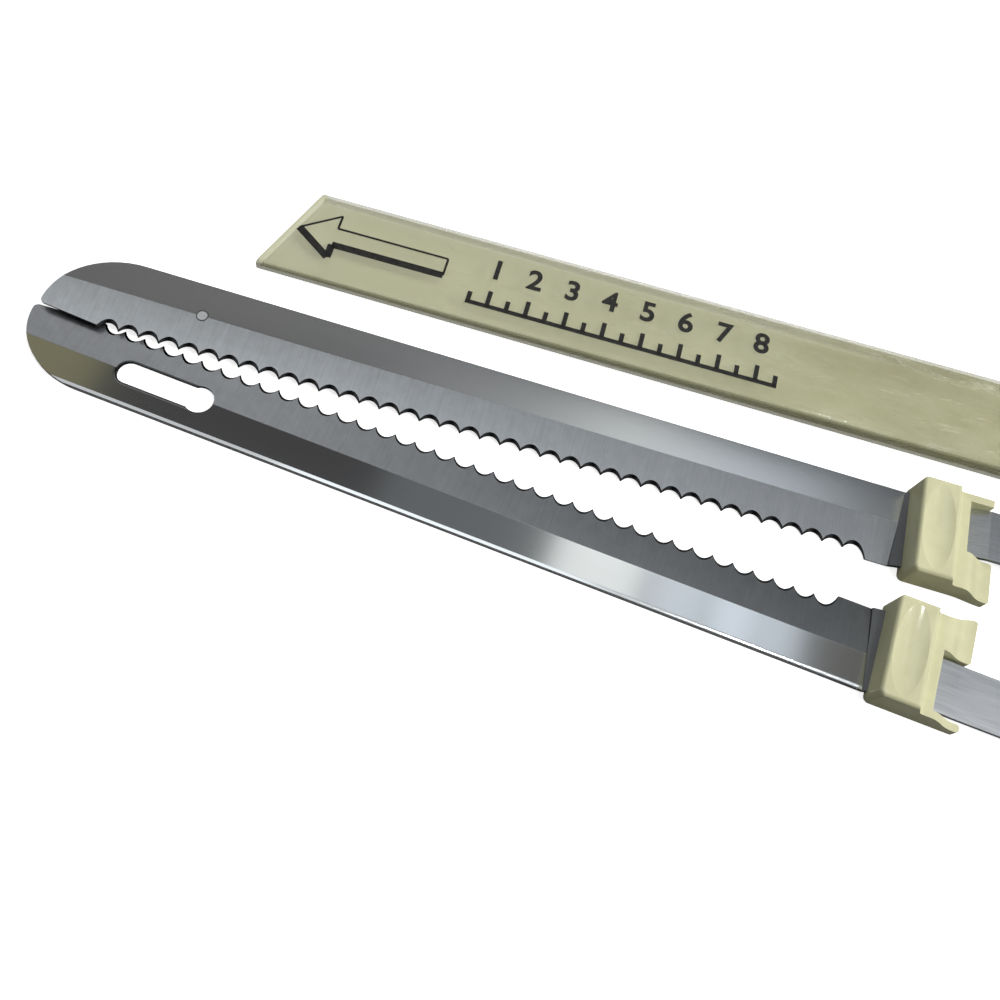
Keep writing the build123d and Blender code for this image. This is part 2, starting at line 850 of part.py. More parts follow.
# Gear train
plate_inner_y = wheel_width / 2 + sliding_gap
plate_outer_y = plate_inner_y + frame_plate_thickness
journal_end_y = plate_outer_y
yoke_inner_y = journal_end_y + crank_pin_length + sliding_gap
yoke_outer_y = yoke_inner_y + yoke_thickness
rod_outer_y = rod_inner_y + yoke_thickness
wheel_root_radius = wheel_pitch_radius - wheel_addendum - sliding_gap
wheel_tip_radius = wheel_pitch_radius + wheel_addendum
worm_root_radius = worm_pitch_radius - wheel_addendum - sliding_gap
tooth_thickness = tooth_share * gear_pitch
tooth_height = wheel_tip_radius - wheel_root_radius

with BuildPart() as worm_wheel:
    with BuildSketch(Plane((wheel_x, 0, wheel_axis_z), x_dir=(1, 0, 0), z_dir=(0, -1, 0))):
        Circle(wheel_root_radius)
        with PolarLocations(wheel_root_radius + tooth_height / 2, wheel_teeth, start_angle=90):
            Rectangle(tooth_height + sliding_gap, tooth_thickness)
    extrude(amount=wheel_width / 2, both=True)
    add(round_bar(
        journal_radius, (wheel_x, -journal_end_y, wheel_axis_z), (wheel_x, journal_end_y, wheel_axis_z), "y"
    ))
    pin_reach = journal_end_y + crank_pin_length
    upper_pin_z = wheel_axis_z + crank_radius
    lower_pin_z = wheel_axis_z - crank_radius
    add(round_bar(crank_pin_radius, (wheel_x, 0, upper_pin_z), (wheel_x, pin_reach, upper_pin_z), "y"))
    add(round_bar(crank_pin_radius, (wheel_x, -pin_reach, lower_pin_z), (wheel_x, 0, lower_pin_z), "y"))
write_in_handle(worm_wheel, "worm_wheel")

with BuildPart() as gear_frame:
    frame_foot_top = floor_z + frame_foot_thickness
    frame_back = wheel_x + frame_plate_half_length
    add(span_box(
        (bridge_x, frame_back), (-bridge_half_width, bridge_half_width), (floor_z, frame_foot_top)
    ))
    for side in (-1, 1):
        plate_span = (side * plate_inner_y, side * plate_outer_y)
        add(span_box(
            (wheel_x - frame_plate_half_length, frame_back),
            (min(plate_span), max(plate_span)),
            (floor_z, wheel_axis_z + journal_radius + frame_rim),
        ))
    add(span_box(
        (bridge_x, bridge_x + bridge_thickness),
        (-bridge_half_width, bridge_half_width),
        (floor_z, bridge_height),
    ))
    bearing_hole = round_bar(
        journal_radius + running_gap,
        (wheel_x, -bridge_half_width, wheel_axis_z),
        (wheel_x, bridge_half_width, wheel_axis_z),
        "y",
    )
    add(bearing_hole, mode=Mode.SUBTRACT)
    for side in (-1, 1):
        rod_span = (side * (rod_inner_y - sliding_gap), side * (rod_outer_y + sliding_gap))
        rod_window = span_box(
            (bridge_x - cut_overrun, bridge_x + bridge_thickness + cut_overrun),
            (min(rod_span), max(rod_span)),
            (wheel_axis_z - rod_height / 2 - sliding_gap, wheel_axis_z + rod_height / 2 + sliding_gap),
        )
        add(rod_window, mode=Mode.SUBTRACT)
write_in_handle(gear_frame, "gear_frame")


def blade_carrier():
    """The +Y sliding carrier: tang socket, guided rod, web, arm and yoke."""
    rod_z = (wheel_axis_z - rod_height / 2, wheel_axis_z + rod_height / 2)
    socket_back = socket_front + socket_length
    web_front = rod_end_x - web_length
    with BuildPart() as carrier:
        add(span_box(
            (socket_front, socket_back),
            (socket_inner_y, socket_outer_y),
            (wheel_axis_z - socket_height / 2, wheel_axis_z + socket_height / 2),
        ))
        fillet(carrier.edges().filter_by(Axis.Z), radius=socket_inner_y / 2)
        add(span_box((socket_back, rod_end_x), (rod_inner_y, rod_outer_y), rod_z))
        add(span_box((web_front, rod_end_x), (rod_inner_y, yoke_outer_y), rod_z))
        add(span_box((web_front, wheel_x), (yoke_inner_y, yoke_outer_y), rod_z))
        add(span_box(
            (wheel_x - yoke_half_length, wheel_x + yoke_half_length),
            (yoke_inner_y, yoke_outer_y),
            (wheel_axis_z - yoke_half_height, wheel_axis_z + yoke_half_height),
        ))
        socket_middle = (socket_inner_y + socket_outer_y) / 2
        slot_half = (blade_thickness + socket_slot_play) / 2
        tang_slot = span_box(
            (socket_front - cut_overrun, socket_front + socket_slot_depth),
            (socket_middle - slot_half, socket_middle + slot_half),
            (
                wheel_axis_z - (tang_width + socket_slot_play) / 2,
                wheel_axis_z + (tang_width + socket_slot_play) / 2,
            ),
        )
        add(tang_slot, mode=Mode.SUBTRACT)
        with BuildSketch(Plane.XZ.offset(-yoke_outer_y - cut_overrun)):
            with Locations((wheel_x, wheel_axis_z)):
                SlotCenterToCenter(2 * crank_radius, 2 * crank_pin_radius + sliding_gap, rotation=90)
        extrude(amount=yoke_thickness + 2 * cut_overrun, mode=Mode.SUBTRACT)
    return carrier


left_carrier = blade_carrier()
right_carrier_solid = mirror(left_carrier.part, about=Plane.XZ)
with BuildPart() as right_carrier:
    add(right_carrier_solid)
write_in_handle(left_carrier, "left_carrier")
write_in_handle(right_carrier, "right_carrier")

# Motor: shaft with worm, armature, field, commutator, brushes, bearings and fan
thread_turns = 2 * int(worm_length / (2 * gear_pitch))
thread_length = thread_turns * gear_pitch
with BuildPart() as worm:
    Cylinder(worm_root_radius, worm_length)
    with BuildLine() as thread_path:
        Helix(gear_pitch, thread_length, worm_pitch_radius, center=(0, 0, -thread_length / 2))
    with BuildSketch(Plane((worm_pitch_radius, 0, -thread_length / 2), x_dir=(1, 0, 0), z_dir=(0, 1, 0))):
        with Locations((-sliding_gap, 0)):
            Rectangle(tooth_height + sliding_gap, tooth_thickness)
    sweep(path=thread_path.line, is_frenet=True)
worm_seat = Plane((wheel_x, 0, motor_axis_z), x_dir=(0, 0, 1), z_dir=(1, 0, 0))
placed_worm = worm_seat.location * worm.part

with BuildPart() as motor_shaft:
    add(round_bar(shaft_radius, (shaft_front, 0, motor_axis_z), (shaft_back, 0, motor_axis_z), "x"))
    add(placed_worm)
write_in_handle(motor_shaft, "motor_shaft")

motor_plane = Plane((core_x, 0, motor_axis_z), x_dir=(0, 1, 0), z_dir=(1, 0, 0))
armature_length = core_length

with BuildPart() as armature_core:
    with BuildSketch(motor_plane):
        Circle(armature_radius)
        Circle(shaft_radius, mode=Mode.SUBTRACT)
        with PolarLocations(armature_radius - armature_slot_depth / 2, armature_slots):
            Rectangle(armature_slot_depth + sliding_gap, armature_slot_width, mode=Mode.SUBTRACT)
    extrude(amount=armature_length)
write_in_handle(armature_core, "armature_core")

with BuildPart() as armature_windings:
    bar_depth = armature_slot_depth - 4 * sliding_gap
    bar_middle = armature_radius - armature_slot_depth + sliding_gap / 2 + bar_depth / 2
    with BuildSketch(motor_plane.offset(-winding_overhang)):
        with PolarLocations(bar_middle, armature_slots):
            Rectangle(bar_depth, armature_slot_width - sliding_gap)
    extrude(amount=armature_length + 2 * winding_overhang)
    for start in (-winding_overhang, armature_length):
        with BuildSketch(motor_plane.offset(start)):
            Circle(winding_radius)
            Circle(shaft_radius, mode=Mode.SUBTRACT)
        extrude(amount=winding_overhang)
write_in_handle(armature_windings, "armature_windings")

with BuildPart() as field_core:
    shoe_radius = coil_inner_radius - sliding_gap
    with BuildSketch(motor_plane):
        Rectangle(core_width, core_height)
        Circle(core_window_radius, mode=Mode.SUBTRACT)
        for side in (-1, 1):
            with BuildLine():
                CenterArc((0, 0), shoe_radius, 90 - side * 90 - pole_half_angle, 2 * pole_half_angle)
                CenterArc((0, 0), pole_bore_radius, 90 - side * 90 - pole_half_angle, 2 * pole_half_angle)
                for edge_angle in (-pole_half_angle, pole_half_angle):
                    turn = radians(90 - side * 90 + edge_angle)
                    Line(
                        (pole_bore_radius * cos(turn), pole_bore_radius * sin(turn)),
                        (shoe_radius * cos(turn), shoe_radius * sin(turn)),
                    )
            make_face()
            with Locations((side * (shoe_radius + core_window_radius) / 2, 0)):
                Rectangle(core_window_radius - shoe_radius + 2 * sliding_gap, pole_neck_width)
    extrude(amount=core_length)
write_in_handle(field_core, "field_core")


def field_coil(side):
    """One field coil: a closed ring round its pole neck, turned up at both ends of the core."""
    middle_angle = 90 - side * 90
    neck_angle = degrees(atan2(pole_neck_width / 2 + sliding_gap, coil_inner_radius))

    def sector(half_angle, start, length):
        with BuildPart() as piece:
            with BuildSketch(motor_plane.offset(start)):
                with BuildLine():
                    CenterArc((0, 0), coil_outer_radius, middle_angle - half_angle, 2 * half_angle)
                    CenterArc((0, 0), coil_inner_radius, middle_angle - half_angle, 2 * half_angle)
                    for edge_angle in (-half_angle, half_angle):
                        turn = radians(middle_angle + edge_angle)
                        Line(
                            (coil_inner_radius * cos(turn), coil_inner_radius * sin(turn)),
                            (coil_outer_radius * cos(turn), coil_outer_radius * sin(turn)),
                        )
                make_face()
            extrude(amount=length)
        return piece.part

    ring = sector(coil_half_angle, -coil_overhang, core_length + 2 * coil_overhang)
    room = sector(neck_angle, -sliding_gap, core_length + 2 * sliding_gap)
    return ring - room


coil_pair = [field_coil(1), field_coil(-1)]
with BuildPart() as field_coils:
    add(coil_pair)
write_in_handle(field_coils, "field_coils")

with BuildPart() as commutator:
    with BuildSketch(Plane(
        (commutator_x - commutator_length / 2, 0, motor_axis_z), x_dir=(0, 1, 0), z_dir=(1, 0, 0)
    )):
        Circle(commutator_radius)
        Circle(shaft_radius, mode=Mode.SUBTRACT)
        with PolarLocations(commutator_radius, armature_slots):
            Rectangle(2 * sliding_gap, sliding_gap, mode=Mode.SUBTRACT)
    extrude(amount=commutator_length)
write_in_handle(commutator, "commutator")

with BuildPart() as cooling_fan:
    fan_plane = Plane((fan_x, 0, motor_axis_z), x_dir=(0, 1, 0), z_dir=(1, 0, 0))
    blade_start = fan_hub_radius / 2
    blade_end = fan_radius - sliding_gap
    with BuildSketch(fan_plane):
        Circle(fan_radius)
    extrude(amount=fan_plate)
    with BuildSketch(fan_plane):
        Circle(fan_hub_radius)
        with PolarLocations((blade_start + blade_end) / 2, fan_blades):
            Rectangle(blade_end - blade_start, fan_blade_thickness)
    extrude(amount=fan_length)
    with BuildSketch(fan_plane):
        Circle(shaft_radius)
    extrude(amount=fan_length, mode=Mode.SUBTRACT)
write_in_handle(cooling_fan, "cooling_fan")


def bearing(x_start):
    """A plain bushing round the motor shaft."""
    with BuildPart() as bush:
        with BuildSketch(Plane((x_start, 0, motor_axis_z), x_dir=(0, 1, 0), z_dir=(1, 0, 0))):
            Circle(bearing_radius)
            Circle(shaft_radius + running_gap, mode=Mode.SUBTRACT)
        extrude(amount=bearing_length)
    return bush


write_in_handle(bearing(front_bearing_x), "front_bearing")
write_in_handle(bearing(back_bearing_x), "back_bearing")


def brush_bar(half_size, y_start, y_end, side):
    """A square bar beside the commutator, on one side."""
    y_span = (side * y_start, side * y_end)
    return span_box(
        (commutator_x - half_size, commutator_x + half_size),
        (min(y_span), max(y_span)),
        (motor_axis_z - half_size, motor_axis_z + half_size),
    )


brush_start_y = commutator_radius + sliding_gap
brush_end_y = brush_start_y + brush_length
brush_half = brush_width / 2
with BuildPart() as brush_holders:
    for side in (-1, 1):
        add(brush_bar(brush_outer_half, holder_inner_y, holder_outer_y, side))
        add(
            brush_bar(brush_half, holder_inner_y - cut_overrun, holder_outer_y - brush_holder_wall, side),
            mode=Mode.SUBTRACT,
        )
write_in_handle(brush_holders, "brush_holders")

with BuildPart() as carbon_brushes:
    for side in (-1, 1):
        add(brush_bar(brush_half, brush_start_y, brush_end_y, side))
write_in_handle(carbon_brushes, "carbon_brushes")

with BuildPart() as brush_springs:
    for side in (-1, 1):
        spring_end_y = holder_outer_y - brush_holder_wall
        y_span = sorted((side * brush_end_y, side * spring_end_y))
        spring_start = (commutator_x, y_span[0], motor_axis_z)
        spring_end = (commutator_x, y_span[1], motor_axis_z)
        add(round_bar(brush_half - sliding_gap, spring_start, spring_end, "y"))
        add(
            round_bar(brush_half - sliding_gap - spring_wire, spring_start, spring_end, "y"),
            mode=Mode.SUBTRACT,
        )
write_in_handle(brush_springs, "brush_springs")

# Trigger, its spring, and the switch below
with BuildPart() as trigger:
    add(span_box(
        (trigger_x - trigger_length / 2, trigger_x + trigger_length / 2),
        (-trigger_width / 2, trigger_width / 2),
        (ceiling_z, handle_height + trigger_stand),
    ))
    fillet(trigger.faces().sort_by(Axis.Z)[-1].edges(), radius=trigger_round)
    groove_reach = trigger_width / 2 - trigger_round
    groove_z = handle_height + trigger_stand
    for turn in range(trigger_grooves):
        groove_x = trigger_x + (turn - (trigger_grooves - 1) / 2) * trigger_groove_pitch
        groove_start = (groove_x, -groove_reach, groove_z)
        groove_end = (groove_x, groove_reach, groove_z)
        add(round_bar(trigger_groove_radius, groove_start, groove_end, "y"), mode=Mode.SUBTRACT)
    add(span_box(
        (trigger_x - trigger_length / 2 - flange_margin, trigger_x + trigger_length / 2 + flange_margin),
        (-trigger_width / 2 - flange_margin, trigger_width / 2 + flange_margin),
        (flange_low, ceiling_z),
    ))
write_in_handle(trigger, "trigger")

with BuildPart() as switch_body:
    add(span_box(
        (switch_front, switch_back), (-switch_width / 2, switch_width / 2), (switch_low, switch_high)
    ))
    plunger_bottom = switch_high - plunger_in_switch
    plunger_hole = round_bar(
        plunger_radius + running_gap,
        (trigger_x, 0, plunger_bottom - trigger_travel - sliding_gap),
        (trigger_x, 0, switch_high + cut_overrun),
        "z",
    )
    add(plunger_hole, mode=Mode.SUBTRACT)
write_in_handle(switch_body, "switch_body")

with BuildPart() as switch_plunger:
    add(round_bar(plunger_radius, (trigger_x, 0, plunger_bottom), (trigger_x, 0, flange_low), "z"))
write_in_handle(switch_plunger, "switch_plunger")

with BuildPart() as trigger_spring:
    spring_bottom = (trigger_x, 0, switch_high)
    spring_top = (trigger_x, 0, flange_low)
    add(round_bar(trigger_spring_radius, spring_bottom, spring_top, "z"))
    add(round_bar(trigger_spring_radius - spring_wire, spring_bottom, spring_top, "z"), mode=Mode.SUBTRACT)
write_in_handle(trigger_spring, "trigger_spring")


def release_button(side):
    """Sprung button on one side of the nose, with its stem toward the carrier."""
    flange_outer_y = inner_half_width - sliding_gap
    flange_inner_y = flange_outer_y - flange_thickness
    button_end_y = handle_half_width + button_stand
    steps = (
        (button_stem_radius, button_stem_end, flange_inner_y),
        (button_radius + button_flange_margin, flange_inner_y, flange_outer_y),
        (button_radius, flange_outer_y, button_end_y),
    )
    with BuildPart() as button:
        for radius, y_start, y_end in steps:
            y_span = sorted((side * y_start, side * y_end))
            add(round_bar(
                radius, (button_x, y_span[0], wheel_axis_z), (button_x, y_span[1], wheel_axis_z), "y"
            ))
        crown = button.faces().sort_by(Axis.Y)[-1 if side > 0 else 0]
        fillet(crown.edges(), radius=button_stand / 2)
    return button


write_in_handle(release_button(1), "left_release_button")
write_in_handle(release_button(-1), "right_release_button")

with BuildPart() as release_springs:
    for side in (-1, 1):
        spring_start_y = button_guide_y + button_guide_thickness
        y_span = sorted((side * spring_start_y, side * (spring_start_y + release_spring_length)))
        spring_start = (button_x, y_span[0], wheel_axis_z)
        spring_end = (button_x, y_span[1], wheel_axis_z)
        add(round_bar(release_spring_radius, spring_start, spring_end, "y"))
        add(round_bar(release_spring_radius - spring_wire, spring_start, spring_end, "y"), mode=Mode.SUBTRACT)
write_in_handle(release_springs, "release_springs")

# Mains inlet in the tail, with its two pins; the lead is not part of the model
inlet_front = handle_length - inlet_depth
inlet_floor = inlet_front + inlet_wall
with BuildPart() as inlet_socket:
    add(span_box(
        (inlet_front, handle_length),
        (-inlet_width / 2, inlet_width / 2),
        (wheel_axis_z - inlet_height / 2, wheel_axis_z + inlet_height / 2),
    ))
    recess = span_box(
        (inlet_floor, handle_length + cut_overrun),
        (-inlet_width / 2 + inlet_wall, inlet_width / 2 - inlet_wall),
        (wheel_axis_z - inlet_height / 2 + inlet_wall, wheel_axis_z + inlet_height / 2 - inlet_wall),
    )
    add(recess, mode=Mode.SUBTRACT)
    for side in (-1, 1):
        pin_y = side * inlet_pin_spacing / 2
        add(
            round_bar(
                inlet_pin_radius, (inlet_front, pin_y, wheel_axis_z), (inlet_floor, pin_y, wheel_axis_z), "x"
            ),
            mode=Mode.SUBTRACT,
        )
write_in_handle(inlet_socket, "inlet_socket")

with BuildPart() as inlet_pins:
    for side in (-1, 1):
        pin_y = side * inlet_pin_spacing / 2
        pin_end = (inlet_front + inlet_pin_length, pin_y, wheel_axis_z)
        add(round_bar(inlet_pin_radius, (inlet_front, pin_y, wheel_axis_z), pin_end, "x"))
write_in_handle(inlet_pins, "inlet_pins")
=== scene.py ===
"""Finishes, print, stage and camera for the electric carving knife taken apart on a table."""

import math

import bmesh
import bpy
from bpy.props import FloatProperty, FloatVectorProperty, IntProperty, PointerProperty
from mathutils import Euler, Matrix, Vector


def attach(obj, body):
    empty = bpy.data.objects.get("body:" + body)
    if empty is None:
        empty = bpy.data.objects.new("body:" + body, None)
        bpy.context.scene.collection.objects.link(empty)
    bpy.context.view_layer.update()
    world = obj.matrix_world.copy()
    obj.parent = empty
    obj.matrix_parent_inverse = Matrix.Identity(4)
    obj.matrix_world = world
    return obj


bl_info = {
    "name": "Carving Knife Finishes",
    "version": (1, 0, 0),
    "blender": (4, 5, 0),
    "location": "3D View > Sidebar > Carving Knife",
    "description": "Dresses the blades, guards, sheath and motor handle of a carving knife",
    "category": "Object",
}

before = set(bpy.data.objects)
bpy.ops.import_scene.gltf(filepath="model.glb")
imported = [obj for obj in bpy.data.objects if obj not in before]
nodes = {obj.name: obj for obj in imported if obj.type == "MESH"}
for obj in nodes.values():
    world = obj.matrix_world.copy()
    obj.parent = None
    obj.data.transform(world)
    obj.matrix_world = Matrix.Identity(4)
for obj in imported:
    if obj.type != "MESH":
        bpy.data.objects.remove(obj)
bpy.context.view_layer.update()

MM = 0.001
PLAIN = (0.0, 0.0, 0.0)
FULL = (1.0, 1.0, 1.0)

# Where the loose pieces lie, as the frame has them: origin, turn, and -1 for a mirrored piece
UPPER_PLACE = (Vector((101.1, 24.62, 0.0)) * MM, math.radians(4.9), 1.0)
LOWER_PLACE = (Vector((100.0, 9.45, 0.0)) * MM, 0.0, -1.0)
SHEATH_PLACE = (Vector((-73.5, 38.7, 0.0)) * MM, math.radians(5.33), 1.0)

# Blade, in its own frame: guard front at X 0, tip toward -X, spine at +Y
BLADE_LENGTH = 217.5 * MM
BLADE_WIDTH = 18.9 * MM
GROUND_WIDTH = 10.2 * MM
NECK_AT_SPINE = -0.8 * MM
NECK_SLANT = 1.9 / 20.4
STUD_FROM_GUARD = -179.4 * MM
STUD_FROM_EDGE = GROUND_WIDTH
STUD_RADIUS = 1.5 * MM
SLOT_START = 29.6 * MM - BLADE_LENGTH
SLOT_END = 47.8 * MM - BLADE_LENGTH
SLOT_RADIUS = 3.0 * MM

# Where one finish of the blades fades into the next, as from and to. ON_BLADE counts from the neck's
# slanted line, SLOT_ROLL and SLOT_RIM from the slot's middle line, STUD_RIM from the stud's axis, and
# FACING_UP is how far the surface faces up. The fades toward the heel and inside the guard, SLOT_RIM
# and STUD_RIM bound painted shade
ON_BLADE = (-0.05 * MM, -0.15 * MM)
IN_GROUND_BAND = (GROUND_WIDTH, GROUND_WIDTH - 0.12 * MM)
INSIDE_SPINE = (BLADE_WIDTH - 0.3 * MM, BLADE_WIDTH - 0.6 * MM)
INSIDE_TIP = (0.5 * MM - BLADE_LENGTH, 2.0 * MM - BLADE_LENGTH)
HEEL_SHADE_REACH = (-150.0 * MM, -15.0 * MM)
INSIDE_GUARD = (1.5 * MM, 2.5 * MM)
SPINE_ROLL = (BLADE_WIDTH - 1.1 * MM, BLADE_WIDTH)
SLOT_ROLL = (SLOT_RADIUS + 0.8 * MM, SLOT_RADIUS)
SLOT_RIM = (SLOT_RADIUS + 0.42 * MM, SLOT_RADIUS + 0.30 * MM)
STUD_RIM = (STUD_RADIUS - 0.34 * MM, STUD_RADIUS - 0.16 * MM)
FACING_UP = (0.90, 0.96)

# Blade grain in waves to the metre along, across and through, and the turn of the grinding
BROAD_WAVES = (160.0, 12.0, 12.0)
SMEAR_WAVES = (18.0, 90.0, 90.0)
BRUSHED_WAVES = (90.0, 2400.0, 900.0)
GRINDING_SPREAD = 60.0
GRINDING_TURN = 0.06
MOTTLE_WAVES = 420.0
TURNED_WAVES = (3000.0, 3000.0, 3000.0)

# What the grinding lines, the broad streaks and the mottle each add to the ground band's grey
LINE_SHARE = 0.55
BROAD_SHARE = 0.10
MOTTLE_SHARE = 0.35

# How deep the slot's rolled rim goes beside the spine's
SLOT_ROLL_SHARE = 0.5

# Painted shade: how much of the ground steel's colour is left on the neck, in the cuts and round the
# stud
NECK_SHADE = 0.34
CUT_SHADE = 0.16
STUD_RIM_SHADE = 0.10

# Sheath, in its own frame: slanted tip end at X 0
SHEATH_LENGTH = 242.0 * MM
SHEATH_WIDTH = 25.8 * MM
SHEATH_SLANT = 9.7 * MM
SHEATH_TIP_HEIGHT = 3.8 * MM
SHEATH_MOUTH_HEIGHT = 6.6 * MM

# Where one finish of the sheath fades into the next, as from and to. TIP_BAND and CUT_LINE count
# from the slanted end, and SIDE_WALL is how far the surface faces up or down. CUT_LINE and SIDE_WALL
# bound painted shade
TOWARD_MOUTH = (60.0 * MM, 190.0 * MM)
SHEATH_FLOOR = (1.5 * MM, 1.2 * MM)
SHEATH_TOP = (2.0 * MM, 2.2 * MM)
TIP_BAND = (1.7 * MM, 1.3 * MM)
CUT_LINE = (0.40 * MM, 0.25 * MM)
SIDE_WALL = (0.75, 0.35)

# Sheath grain in waves to the metre, and the crests that count as a scuff or as grime
CLOUD_WAVES = 60.0
GRIME_WAVES = (40.0, 110.0, 110.0)
SCUFF_WAVES = (70.0, 300.0, 300.0)
SCUFF_CREST = (0.56, 0.70)
GRIME_CREST = (0.35, 0.6)
SCRATCHES_AT_TIP = 0.15
SCRATCHES_AT_MOUTH = 0.8

# How deep the painted shade, in the mouth tint, gets on the cut line and the side walls
CUT_LINE_SHADE_MIX = 0.7
SIDE_SHADE_MIX = 0.75
SIDE_SHADE = 0.55

# How much the side walls, the tip band, a scratch and a cloud hide of what lies behind them
SIDE_COVER = 0.6
TIP_BAND_COVER = 0.64
SCRATCH_COVER = 0.35
CLOUD_COVER = 0.12

# Print on the sheath
INK_NAME = "screen_print_ink"
INK_LIFT = 0.02 * MM
INK_DEPTH = 0.03 * MM
ARROW_MIDDLE = 13.4 * MM
ARROW_TIP = 7.0 * MM
ARROW_TAIL = 46.0 * MM
ARROW_HEAD = 9.5 * MM
ARROW_SHAFT = 2.6 * MM
ARROW_BARB = 6.6 * MM
HEAVY_LINE = 1.6
LIGHT_LINE = 0.5
SCALE_START = 54.0 * MM
SCALE_STEP = 5.0 * MM
SCALE_LOW = 5.4 * MM
LONG_MARK = 4.6 * MM
SHORT_MARK = 3.0 * MM
NUMBER_LOW = 14.0 * MM
NUMBER_WEIGHT = 0.22 * MM
FONT_SIZE_PER_HEIGHT = 1.4
JOIN_DISTANCE = 0.001 * MM

# The range that a noise mostly stays in
NOISE_LOW = 0.3
NOISE_HIGH = 0.7

# Grain of the other finishes in waves to the metre, and the crests that count as a joint or a speck
MACHINED_SPREAD = 50.0
PATCH_WAVES = 90.0
SHEET_GRIME_WAVES = 260.0
SHEET_JOINT = (-1.0, -0.6)
VARNISH_WAVES = 300.0
GUARD_CLOUD_WAVES = 140.0
GUARD_GLOSS_WAVES = 420.0
SINK_WAVES = 200.0
SPECK_WAVES = 1500.0
SPECK_CREST = (0.79, 0.83)
SPECK_SHADE = 0.72
RUBBED_WAVES = 55.0
INK_WEAR_WAVES = 900.0
FLOOR_WAVES = 40.0

# Colours of the pieces that have no setting
# SHADOW_STEEL is the painted shade that the ground bands darken to toward the guard
SHADOW_STEEL = (0.06, 0.062, 0.064)
SCREW_STEEL = (0.70, 0.69, 0.66)
SHAFT_STEEL = (0.55, 0.56, 0.58)
SHEET_STEEL = (0.26, 0.27, 0.29)
SPRING_STEEL = (0.52, 0.53, 0.55)
CAST_ALLOY = (0.56, 0.57, 0.58)
BRASS = (0.78, 0.58, 0.26)
BRONZE = (0.52, 0.36, 0.18)
COPPER_BAR = (0.70, 0.36, 0.18)
COPPER_WIRE = (0.60, 0.24, 0.09)
CARBON = (0.02, 0.02, 0.02)
NYLON = (0.74, 0.71, 0.60)
SCRATCHED_PLASTIC = (0.78, 0.78, 0.60)
INK_DARK = (0.012, 0.012, 0.011)
INK_LIGHT = (0.028, 0.027, 0.024)


# Settings a user would change
class KnifeSteelSettings(bpy.types.PropertyGroup):
    ground_color: FloatVectorProperty(
        name="Ground steel", description="Colour of the cross-ground band",
        subtype="COLOR", default=(0.62, 0.64, 0.67), min=0, max=1)
    polished_color: FloatVectorProperty(
        name="Polished steel", description="Colour of the polished band by the spine",
        subtype="COLOR", default=(0.72, 0.73, 0.74), min=0, max=1)
    ground_roughness: FloatProperty(
        name="Ground roughness", description="Roughness of the cross-ground band",
        subtype="FACTOR", default=0.34, min=0, max=1)
    upper_polish: FloatProperty(
        name="Upper polish", description="Roughness of the upper blade's polished band",
        subtype="FACTOR", default=0.16, min=0, max=1)
    lower_polish: FloatProperty(
        name="Lower polish", description="Roughness of the lower blade's polished band",
        subtype="FACTOR", default=0.07, min=0, max=1)
    # Painted shade on each blade's ground band toward the guard
    upper_heel: FloatProperty(
        name="Upper heel", description="How far the upper blade's ground band darkens toward the guard",
        subtype="FACTOR", default=0.40, min=0, max=1)
    lower_heel: FloatProperty(
        name="Lower heel", description="How far the lower blade's ground band darkens toward the guard",
        subtype="FACTOR", default=0.56, min=0, max=1)
    tang_roughness: FloatProperty(
        name="Tang roughness", description="Roughness of the brushed neck and tang",
        subtype="FACTOR", default=0.36, min=0, max=1)
    grind_spacing: FloatProperty(
        name="Grind spacing", description="Mean distance between grinding lines",
        subtype="DISTANCE", unit="LENGTH", default=0.4 * MM, precision=5)


class KnifePlasticSettings(bpy.types.PropertyGroup):
    almond_color: FloatVectorProperty(
        name="Almond plastic", description="Colour of the guards and the housing",
        subtype="COLOR", default=(0.71, 0.70, 0.45), min=0, max=1)
    button_color: FloatVectorProperty(
        name="Button plastic", description="Colour of the trigger and the release buttons",
        subtype="COLOR", default=(0.11, 0.07, 0.04), min=0, max=1)
    dark_color: FloatVectorProperty(
        name="Dark plastic", description="Colour of the bezel, switch, fan and inlet",
        subtype="COLOR", default=(0.030, 0.028, 0.026), min=0, max=1)
    grain_size: FloatProperty(
        name="Grain size", description="Size of the housing's moulded grain",
        subtype="DISTANCE", unit="LENGTH", default=0.45 * MM, precision=5)


class KnifeSheathSettings(bpy.types.PropertyGroup):
    tint: FloatVectorProperty(
        name="Sheath tint", description="Colour of the yellowed clear plastic",
        subtype="COLOR", default=(0.68, 0.68, 0.41), min=0, max=1)
    # The mouth tint is also the colour of the painted shade along the sheath's cut end and side walls
    mouth_tint: FloatVectorProperty(
        name="Mouth tint", description="Deeper colour of the plastic toward the sheath's mouth",
        subtype="COLOR", default=(0.46, 0.45, 0.20), min=0, max=1)
    haze: FloatProperty(
        name="Haze", description="How much the top wall clouds what lies behind it",
        subtype="FACTOR", default=0.20, min=0, max=1)
    depth: FloatProperty(
        name="Depth", description="How much the floor of the sheath hides the table",
        subtype="FACTOR", default=0.55, min=0, max=1)
    number_height: FloatProperty(
        name="Number height", description="Height of the numbers printed on the sheath",
        subtype="DISTANCE", unit="LENGTH", default=5.8 * MM, precision=5)
    line_width: FloatProperty(
        name="Line width", description="Width of the printed lines",
        subtype="DISTANCE", unit="LENGTH", default=1.2 * MM, precision=5)
    number_count: IntProperty(
        name="Numbers", description="How many numbers the printed scale has", default=8, min=1, max=12)


